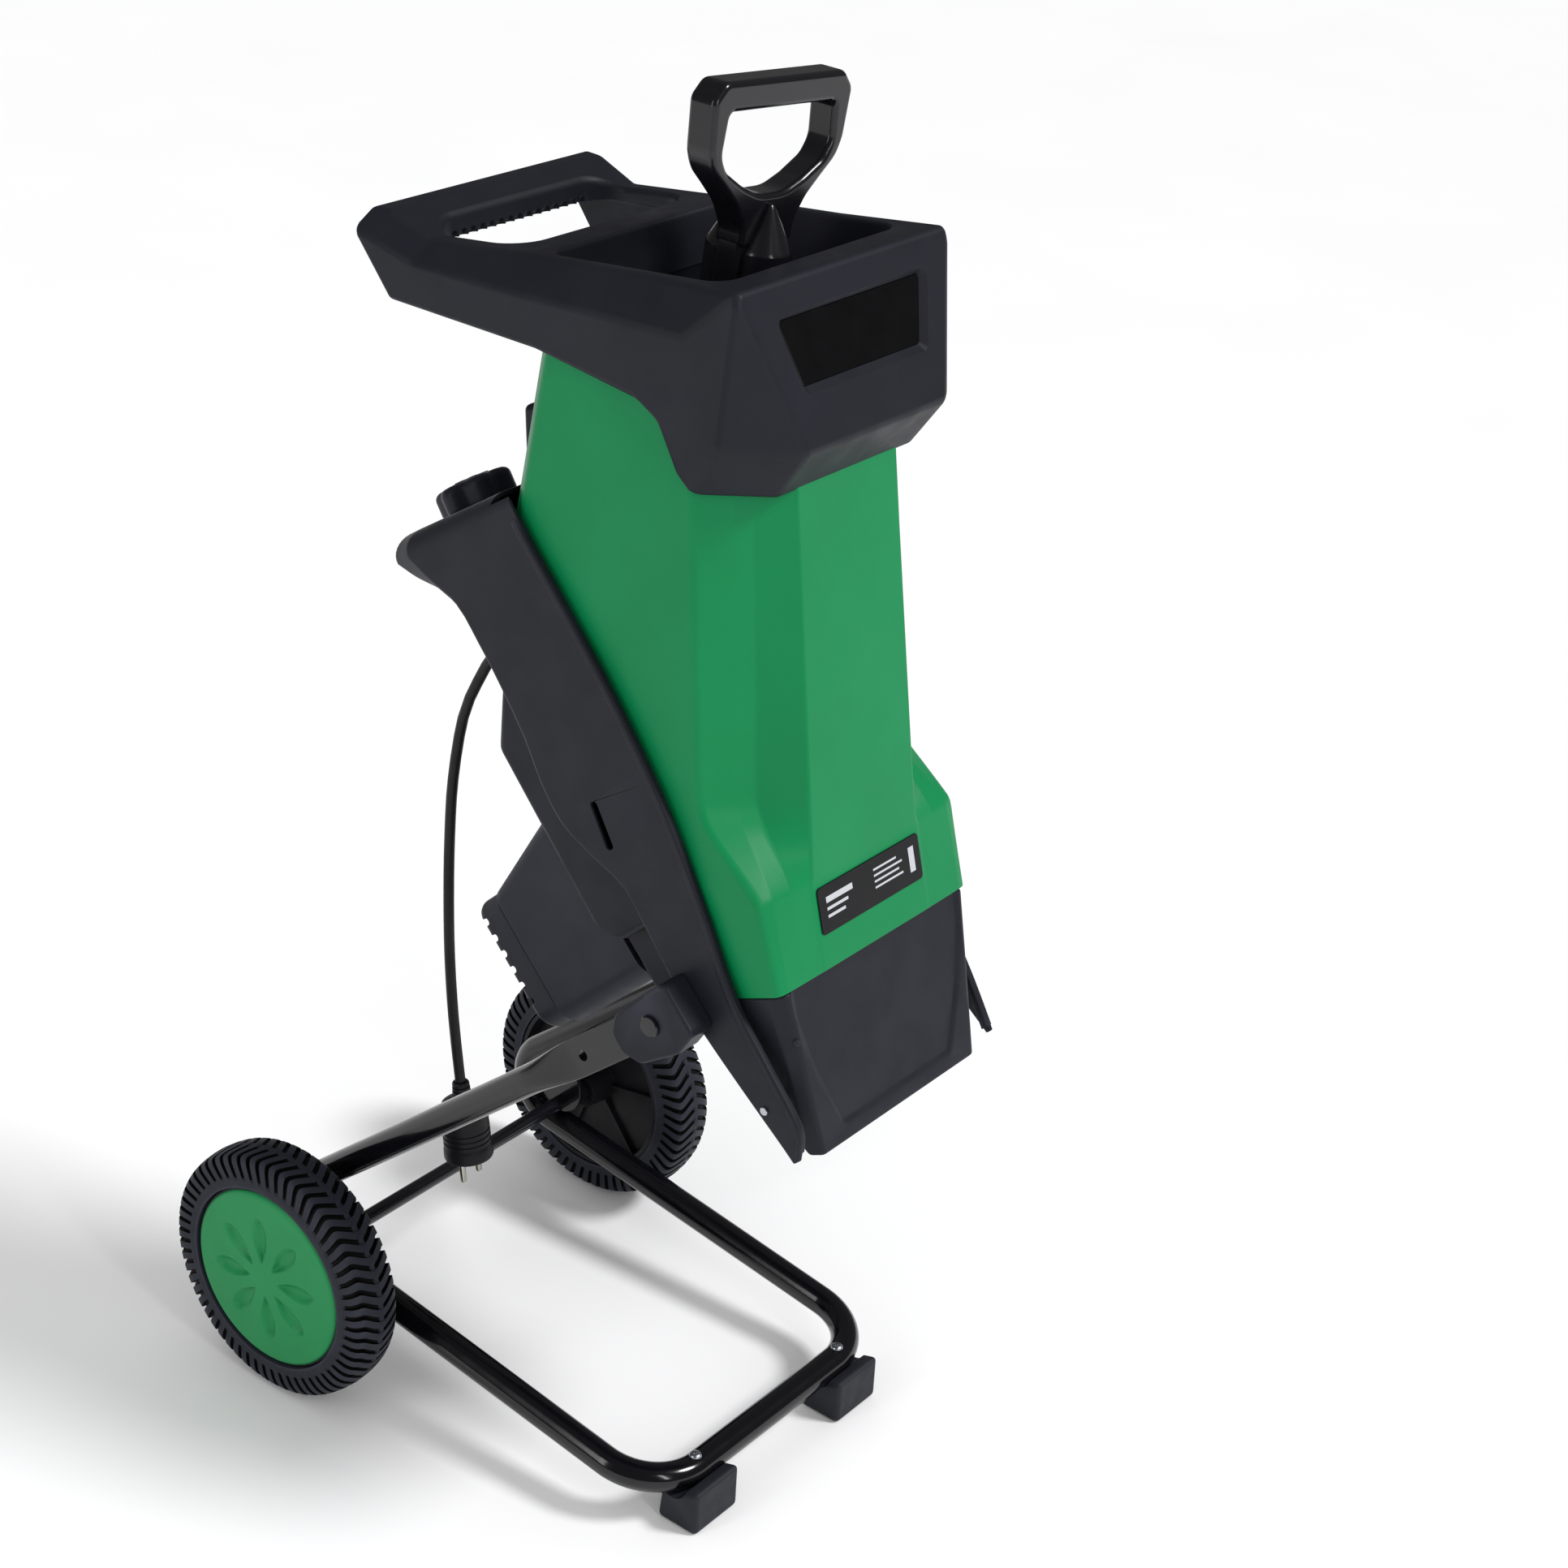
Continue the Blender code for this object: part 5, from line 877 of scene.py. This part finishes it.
def pivots_and_bolts():
    for name, side in SIDES:
        turn = (0, 0, 180 if side < 0 else 0)
        pin = turned([(87.5, 0), (87.5, 2.6), (88, 3), (117.2, 3), (117.6, 2.6), (117.8, 0)],
                     32, frame_under(BASE, (0, -463, -62), turn), ZINC, "x")
        piece("pivot_pin_" + name, [pin], "hinge_pin_" + name)
        place = frame_under(BASE, (0, *ARM_BOLT), turn)
        head = turned([(104, 0), (104, 4), (138.3, 4), (138.3, 7.2), (138.8, 7.6), (140, 7.6),
                       (140.8, 6.8), (141, 0)], 40, place, ENAMEL, "x")
        piece("arm_bolt_" + name, [head], "frame_bolt_" + name)
        nut("arm_nut_" + name, "frame_nut_" + name, place, 7.5, (4.3, 24), 106, 112.7, 0.6)


def motor_cover():
    """Motor housing with its end cap: rounded moulding, seam groove and wrap-round air slots."""
    front, split, end = STEP_W + 0.3, -286, -257
    top_front, top_rear = 188, 158

    def ring(w, narrower):
        """The cover's outline at depth w, with its top sloping down towards the cap."""
        top = top_front + (top_rear - top_front) * (w - front) / (split - front)
        outline = rounded(rectangle(-75, 75, 49, top), (18, 18, 10, 10), 8)
        return [(x, w, u) for x, u in inset(outline, narrower)]

    def cap_ring(w, narrower):
        outline = rounded(rectangle(-73, 73, 52, 157), (18, 18, 11, 11), 8)
        return [(x, w, u) for x, u in inset(outline, narrower)]

    def cap_end(thick, turn):
        arc = [k * pi / 12 for k in range(7)]
        return [cap_ring(end - thick - turn * (1 - sin(a)), thick + turn * (1 - cos(a))) for a in arc]
    body = loft([ring(front, 0), ring(split - 1.6, 0), ring(split, 1.5)], BASE)
    cut(body, loft([ring(front - 2, 3), ring(split + 2, 3)], BASE))
    piece("motor_cover_body", [body], "motor_housing")
    cap = loft([cap_ring(split + 0.3, 1.2), cap_ring(split + 1.6, 0), *cap_end(0, 9.5)], BASE)
    cut(cap, loft([cap_ring(split - 5, 3), *cap_end(3, 6.5)], BASE))
    for u in range(76, 154, 13):
        cut(cap, prism(rounded(rectangle(end - 10, end + 6, u, u + 5.4), 2.6), "x", -80, 80, BASE))
    boss = turned([(split + 2, 9.3), (split + 2, 13), (end - 3, 13), (end - 3, 9.3)], 40,
                  frame_under(BASE, (0, 0, 114), (-90, 0, 0)))
    piece("motor_vent_cap", [softened(settle(cap), 0.5, 2, 60, clamp=False), boss], "motor_end_cap")


base_tray()
pivots_and_bolts()
motor_cover()


# Green housing, label and chute cover

FOOT_Z, BAND_Z, TOP_Z = 323, 384, 745     # the shell's foot, its label band's top, its top
GREEN_SECTIONS = (
    # height, then side corner, facet corner, flat strip, slope foot and panel edge, each (x, y)
    (311, (-107, -406), (-98, -407.5), (-80, -408), (-62, -408.4), (-58, -408.6)),
    (FOOT_Z, (-107, -404.5), (-98, -406), (-80, -406.4), (-62, -406.7), (-58, -406.9)),
    (BAND_Z, (-110, -390.5), (-98, -393), (-80, -394), (-62, -394.8), (-59, -395.5)),
    (388, (-109.5, -387.5), (-97, -391), (-80, -392.5), (-60, -394), (-58, -395.5)),
    (432, (-107, -339), (-85, -354), (-74, -361), (-58, -391), (-56.5, -392.5)),
    (650, (-107, -337), (-85, -354), (-74, -360), (-54, -376.5), (-52.5, -378)))
GREEN_LEVELS = (323, 335, 348, 361, 372, 379, 383, 385, 387, 390, 394, 399, 405, 411, 417, 423, 428,
                433, 438, 444, 452, 470, 500, 540, 600, 650, 700, 745)


def parting(y):
    """Height of the joint between the housing and the chute cover."""
    return FOOT_Z - 0.324 * (y + 406)


def green_ring(z):
    """The housing's outline at height z, from the middle of the back round to it again."""
    below, above = next(((low, high) for low, high in zip(GREEN_SECTIONS, GREEN_SECTIONS[1:])
                         if z <= high[0]), GREEN_SECTIONS[-2:])
    t = max(0, min(1, (z - below[0]) / (above[0] - below[0])))
    front = [tuple(a + (b - a) * t for a, b in zip(p, q)) for p, q in zip(below[1:], above[1:])]
    back = back_y(z)
    half = [(0, back), (-95, back), (-107, back - 13), *front, (0, front[-1][1])]
    return half + [(-p[0], p[1]) for p in reversed(half[1:-1])]


def soft_ring(z):
    """The outline at height z, blended with its neighbours so that its breaks are rounded."""
    reach = 3 + 11 * max(0, min(1, (z - 388) / 30))
    rings = [green_ring(z + reach * k / 4) for k in range(-4, 5)]
    return [tuple(sum(p[j] for p in points) / len(rings) for j in (0, 1)) for points in zip(*rings)]


def green_rings(grow, top=TOP_Z, low=FOOT_Z):
    """The housing's outlines, moved out by grow, from its foot or from a height up to its top."""
    rings = []
    for z in GREEN_LEVELS:
        if z >= low:
            share = max(0, (BAND_Z - z) / (BAND_Z - FOOT_Z))
            rings.append([
                (x, y, top if z == TOP_Z else parting(y) * share + BAND_Z * (1 - share) if share else z)
                for x, y in rounded(inset(soft_ring(z), -grow), 9, 4)])
    return rings


def green_housing():
    outer, inner = green_rings(0), green_rings(-WALL)[::-1]
    shell = loft(outer + inner, finish=GREEN_ABS, closed=True)
    # Painted shade: the top of the shell's inside, from its rim down to about z 500, takes the dark
    # slate finish in place of the green moulding, to stand for the shade inside the hopper's throat.
    shell.data.materials.append(SLATE_PP)
    for face in shell.data.polygons:    # painted shade on the upper inside faces
        if len(outer) <= face.index // len(outer[0]) < len(outer) + 5:
            face.material_index = 1
    cut(shell, in_base([(-160, -473), (330, -473), (352, -503), (357, -503), (357, -100), (-160, -100)],
                       -140, 140, GREEN_ABS))       # the cutter's finish shows on the cut
    piece("green_housing", [softened(settle(shell), 0.8, 2, 62, clamp=False)], "green_shell", 40)


def label():
    """Film on the housing's lower band."""
    def face(z):
        return -406.9 + 11.4 * (z - FOOT_Z) / (BAND_Z - FOOT_Z) - 0.3
    outline = rounded(rectangle(-57, 57, 347, 379), 3, 5)
    film = loft([[(x, face(z) - d, z) for x, z in inset(outline, i)]
                 for d, i in ((0, 0), (0.6, 0), (0.8, 0.3))], finish=LABEL_FILM)
    piece("label_film", [film], "label_plate")


def chute_cover():
    """Cover under the housing: bowed front with a sunk panel, open to the ground."""
    def front_y(z):
        return -406 - 22 * (FOOT_Z - z) / 119

    def skin(thick, extra):
        rings = []
        for z in (FOOT_Z + extra, 270, 236, 204 - extra):
            x = 101.6 + (z - 270) * (5.4 / 53 if z > 270 else 7.1 / 66) - thick
            f = front_y(z) + thick
            outline = rounded([(-x, -330), (-x, f + 9), (-x + 7, f), (x - 7, f), (x, f + 9),
                               (x, -330)], (0, 6, 6, 6, 6, 0), 5)
            rings.append([(px, py, parting(py) - 0.3 + extra if z >= FOOT_Z else z)
                          for px, py in outline])
        return loft(rings)
    cover = softened(skin(0, 0), 2.2, 3, 40)
    panel = rounded([(-64, 214), (64, 214), (84, 260), (95, 300), (98, 345), (-98, 345), (-95, 300),
                     (-84, 260)], (9, 9, 20, 20, 0, 0, 20, 20))
    pocket = loft([[(x, front_y(z) + d, z) for x, z in inset(panel, i)]
                   for d, i in ((-6, -1), (0, 0), (1.7, 3.4), (2.1, 5))])
    cut(cover, skin(WALL, 10), pocket, box((-140, 140), (-456, -100), (-200, 200), BASE))
    pip = turned([(0, 0), (0, 2.4), (0.7, 2), (1, 1), (1.1, 0)], 24,
                 frame_under(HOUSING, (-97.5, front_y(288) + 0.4, 288), (90, 0, -30)))
    piece("chute_cover_moulding", [cover, pip], "chute_cover", 40)


green_housing()
label()
chute_cover()
dressed("feed_chute", SLATE_PP, 1)
dressed("anvil_blade", GROUND_STEEL, 0.4)


# Hopper collar with its carrying handle and window

COLLAR_TOP = ((-110, -376, 783), (-101, -300, 782), (-101, -200, 780), (-101, -120, 777),
              (-104, -88, 792), (-106, -74, 793))
COLLAR_EDGE = ((-118, -340, 752), (-118, -271, 756), (-118, -200, 759), (-118, -120, 764),
               (-120, -90, 774), (-120, -68, 780))
COLLAR_BOTTOM = ((-113, -341, 652), (-117, -333, 664), (-118, -319, 696), (-118, -303, 707),
                 (-118, -221, 725), (-118, -96, 737))
COLLAR_FRONT = ((-118, -366, 687), (-74, -403, 680), (-71, -376, 646))     # corner, nose, skirt
PANE = rounded([(-61, 718), (61, 718), (74, 759), (-74, 759)], 2.5, 5)


def collar_body():
    """The collar as a closed block, before anything is cut from it."""
    points = [*COLLAR_TOP, *COLLAR_EDGE, *COLLAR_BOTTOM, *COLLAR_FRONT]
    half = len(points)
    t, m, b, (corner, nose, skirt) = range(0, 6), range(6, 12), range(12, 18), range(18, 21)
    faces = [(t[0], m[0], corner), (t[0], corner, nose), (corner, b[0], b[1], b[2], m[0]),
             (m[0], b[2], b[3], m[1]), (m[1], b[3], b[4], m[2]), (m[2], b[4], b[5], m[3]),
             (m[3], b[5], m[4]), (m[4], b[5], m[5]), (corner, nose, skirt, b[0])]
    faces += [(t[i], t[i + 1], m[i + 1], m[i]) for i in range(5)]
    faces += [tuple(v + half for v in face) for face in faces]
    rims = [*reversed(t), nose, skirt, *b, m[5], t[5]]
    faces += [(v, n, n + half, v + half) for v, n in zip(rims, rims[1:])]
    return softened(solid(points + [(-x, y, z) for x, y, z in points], faces), 3.6, 5, 12)


def collar_top(y):
    return straight([(y0, z0) for _, y0, z0 in COLLAR_TOP], y)


def flared(outline, radius):
    """Rings of a cutter through the collar's top, which flare into a rounded rim."""
    rings = []
    for k in range(6):
        a = k * pi / 10
        rings.append([(x, y, collar_top(y) - radius + (radius + 0.2) * sin(a))
                      for x, y in inset(outline, -radius * (1 - cos(a)))])
    return rings + [[(x, y, 860) for x, y in inset(outline, -radius - 0.2)]]


def pane_rings(steps):
    """Rings in the shape of the window at (depth, inset) from the collar's sloping front face."""
    return [[(x, -376 + (z - 783) * (27 / 103) + depth, z) for x, z in inset(PANE, i)]
            for depth, i in steps]


def hopper_collar():
    collar = collar_body()
    cut(collar, loft(pane_rings(((-8, -4.4), (0, -4.4), (4.2, -0.4), (6, -0.4)))))
    settle(collar)
    hand = rounded(rectangle(-86, 86, -105, -183), 22, 8)
    cut(collar, loft([[(x, y, 650) for x, y in hand], *flared(hand, 4)]))
    under_bar = softened(box((-88, 88), (-188, -40), (680, 768)), 3, 3)
    mouth = [[(x, y, z) for x, y in rounded(rectangle(-half, half, front, rear), 14)]
             for z, half, front, rear in ((690, 79, -336, -224), (760, 88, -347, -216))]
    mouth += flared(rounded(rectangle(-91.5, 91.5, -350, -213), 14), 3.5)
    seat = loft(green_rings(0.4, 745.4, 540))
    inner = prism([(-113, -222), (-113, -336), (-79, -364), (79, -364), (113, -336), (113, -222)], "z",
                  640, 740)
    cut(collar, under_bar, loft(mouth), seat, inner)
    half_groove = [(-4.4, 0), (-4.2, 3.4), (-3, 4.9), (-1.6, 5.6)]
    groove = [*half_groove, (0, 5.8), *[(-a, r) for a, r in reversed(half_groove)]]
    for x in range(-63, 64, 9):
        cut(collar, turned(groove, 32, frame_under(HOUSING, (x, -108.2, 768)), axis="x"))
    piece("hopper_collar_moulding", [collar], "hopper_collar", 34)
    pane = loft(pane_rings(((5.4, 0), (4.2, 0), (3.8, 0.5))), finish=ACRYLIC)
    piece("window_pane", [pane], "hopper_window")


hopper_collar()


# Switch box, latch and knob

def switch_box():
    rear = -143
    outline = [(back_y(634) + 0.4, 634), (rear, 620), (rear, 658), (back_y(664) + 0.4, 664)]
    shell = softened(prism(outline, "x", -45, 45), 4.5, 5)
    cut(shell, prism([(back_y(640) - 10, 637), (rear - WALL, 624), (rear - WALL, 655),
                      (back_y(660) - 10, 660)], "x", -42, 42))
    places = [frame_under(HOUSING, (x, rear, 641)) for x in (-20, 20)]
    cut(shell, *[turned([(-10, 0), (-10, 10.3), (-1, 10.3), (0.2, 11.4), (5, 11.4), (5, 0)], 48,
                        place, axis="y") for place in places])
    piece("switch_housing", [shell], "switch_box")
    for name, place, finish in zip(("start", "stop"), places, (START_BUTTON, RED_BUTTON)):
        cap = turned([(-6, 0), (-6, 11.5), (-3.3, 11.5), (-3.3, 10), (3.2, 10), (4.1, 9.6),
                      (4.7, 8.8), (4.6, 6), (4.2, 3), (4.1, 0)], 56, place, finish, "y")
        piece(name + "_push_cap", [cap], name + "_button")


def star_knob():
    """Six-lobed clamping knob with a domed top, turned on the stud."""
    place = frame_under(BASE, (0, -396, end_wall_u(-396)), (degrees(atan2(END_SLOPE, 1)), 0, 0))
    base = 5.3

    def lobes(shrink, lift):
        ring = []
        for k in range(144):
            a = 2 * pi * k / 144
            r = 29 - 4.6 * (0.5 - 0.5 * cos(6 * a)) ** 1.4 - shrink
            ring.append((r * cos(a), r * sin(a), base + lift))
        return ring
    levels = ((2.2, 0), (0.7, 0.7), (0, 2.2), (0, 13), (0.5, 15.2), (1.9, 17), (4.2, 18.2),
              (8, 18.8), (12, 18.6), (14, 18.6), (15, 19.8), (18, 20), (24, 20))
    knob = loft([lobes(*level) for level in levels], place)
    cut(knob, turned([(base - 5, 0), (base - 5, 4.1), (base + 12, 4.1), (base + 12, 0)], 32, place))
    piece("star_knob", [knob], "locking_knob")
    stud = [(-9, 0), (-9, 3), (-8, 4)]
    for k in range(16):
        z = -7.5 + 1.2 * k
        stud += [(z, 4), (z + 0.5, 3.5), (z + 0.7, 3.5)]
    stud += [(base + 11.5, 4), (base + 11.5, 0)]
    piece("knob_stud_thread", [turned(stud, 32, place, ZINC)], "knob_stud")


switch_box()
star_knob()
dressed("latch_plate", ZINC, 0.9, 3)
dressed("safety_microswitch", NYLON, 0.8)


# Pusher

def pusher():
    """D-handled pusher: rounded grip, flat shaft with a cone-topped stem on each face, and sole."""
    def both(points, radii):
        """The outline with its mirror image, rounded off."""
        return rounded(points + [(-x, z) for x, z in reversed(points)], radii + radii[::-1])
    outer = both([(-27, -16), (-27.5, -3), (-37, 11.5), (-51, 24), (-64, 35), (-69, 47), (-71.5, 80),
                  (-61, 90.7)], (0, 14, 30, 60, 24, 24, 9, 9))
    inner = both([(-13, 17.5), (-31, 24.5), (-50, 35), (-56.5, 45), (-54, 71.5)], (40, 30, 16, 14, 5))
    grip = prism(outer, "y", -11, 11, PUSHER_AXIS, GLOSS_PP)
    cut(grip, prism(inner, "y", -20, 20, PUSHER_AXIS))
    softened(settle(grip), 4.2, 6, 50, clamp=False)
    shaft = softened(box((-27, 27), (-9, 9), (-200, -10), PUSHER_AXIS, GLOSS_PP), 3, 4)
    sole = softened(box((-60.7, 60.7), (-32, 32), (-206, -199), PUSHER_AXIS, GLOSS_PP), 2, 3)
    stems = [turned([(-200, 0), (-200, 18.5), (-19.5, 18.5), (-18.3, 18.2), (-16.5, 17.3),
                     (0, 8.6), (8, 4.2), (10.6, 2.6), (11.7, 1.3), (12, 0)], 72,
                    frame_under(PUSHER_AXIS, (-3, y, 0)), GLOSS_PP) for y in (-12, 12)]
    piece("pusher_moulding", [grip, shaft, *stems, sole], "pusher", 40)


pusher()


# Cutting gear, seen through the chute and when the housing is tipped

for node, finish, edge in (
        ("bearing_plate", CAST_ALUMINIUM, 1), ("cutter_disc", FACED_STEEL, 0.5),
        ("blade_a", GROUND_STEEL, 0.25), ("blade_screw_a", GEAR_STEEL, 0.4),
        ("blade_b", GROUND_STEEL, 0.25), ("blade_screw_b", GEAR_STEEL, 0.4),
        ("disc_nut", ZINC, 0.7), ("cutter_spindle", GEAR_STEEL, 0.4), ("drive_gear", GEAR_STEEL, 0.2),
        ("armature", GEAR_STEEL, 0.2), ("motor_fan", NYLON, 0.4), ("motor_stator", COPPER, 1),
        ("motor_bearing_front", GROUND_STEEL, 0.4), ("motor_bearing_rear", GROUND_STEEL, 0.4),
        ("spindle_bearing_front", GROUND_STEEL, 0.4), ("spindle_bearing_rear", GROUND_STEEL, 0.4)):
    dressed(node, finish, edge)


# Floor, lights and background

def pale_floor():
    """Matt pale paper sweep, with a very faint mottle."""
    paper = Finish("matt_pale_paper", Roughness=0.9)
    paper.tones(paper.noise(3, 2), "EFEFF0", "F4F4F5")
    mesh = bpy.data.meshes.new("floor")
    mesh.from_pydata([(x, y, 0) for x, y in rectangle(-14, 14, -14, 14)], [], [(0, 1, 2, 3)])
    mesh.materials.append(paper.mat)
    placed("floor", mesh)


def lamp(name, kind, energy, at, direction):
    """A light that shines back along a direction."""
    light = bpy.data.lights.new(name, kind)
    light.energy = energy
    obj = placed(name, light)
    obj.location = at
    obj.rotation_mode = "QUATERNION"
    obj.rotation_quaternion = Vector(direction).to_track_quat("Z", "Y")
    return light


def studio():
    world = bpy.data.worlds.new("studio")
    bpy.context.scene.world = world
    world.use_nodes = True
    tree = world.node_tree
    background = tree.nodes["Background"]
    background.inputs["Color"].default_value = (1, 1, 1, 1)
    # full strength as seen, less as light on the object, and none or little in reflections
    seen, onto, mirrored = 1, 0.62, -0.5
    path = add_node(tree, "LightPath").outputs
    direct = add_node(tree, "Math", {
        0: path["Is Camera Ray"], 1: path["Is Transmission Ray"]}, operation="MAXIMUM")
    level = add_node(tree, "MapRange", {"Value": direct.outputs[0], "To Min": onto, "To Max": seen})
    glossy = add_node(tree, "Math", {0: path["Is Glossy Ray"], 1: mirrored}, operation="MULTIPLY")
    strength = add_node(tree, "Math", {0: level.outputs["Result"], 1: glossy.outputs[0]})
    tree.links.new(strength.outputs[0], background.inputs["Strength"])
    lamp("key_from_front_right", "SUN", 2.1, (0, 0, 0), (0.45, -0.75, 1)).angle = radians(14)
    for name, at, target, size, watts in (
            ("fill_from_left", (-2.6, 0.6, 1.5), (0, 0, 0.5), (0.5, 2), 14),
            ("strip_from_front", (-0.9, -2.8, 1.9), (0, 0, 0.6), (0.25, 1.8), 16)):
        light = lamp(name, "AREA", watts, at, Vector(at) - Vector(target))
        light.shape = "RECTANGLE"
        light.size, light.size_y = size


pale_floor()
studio()
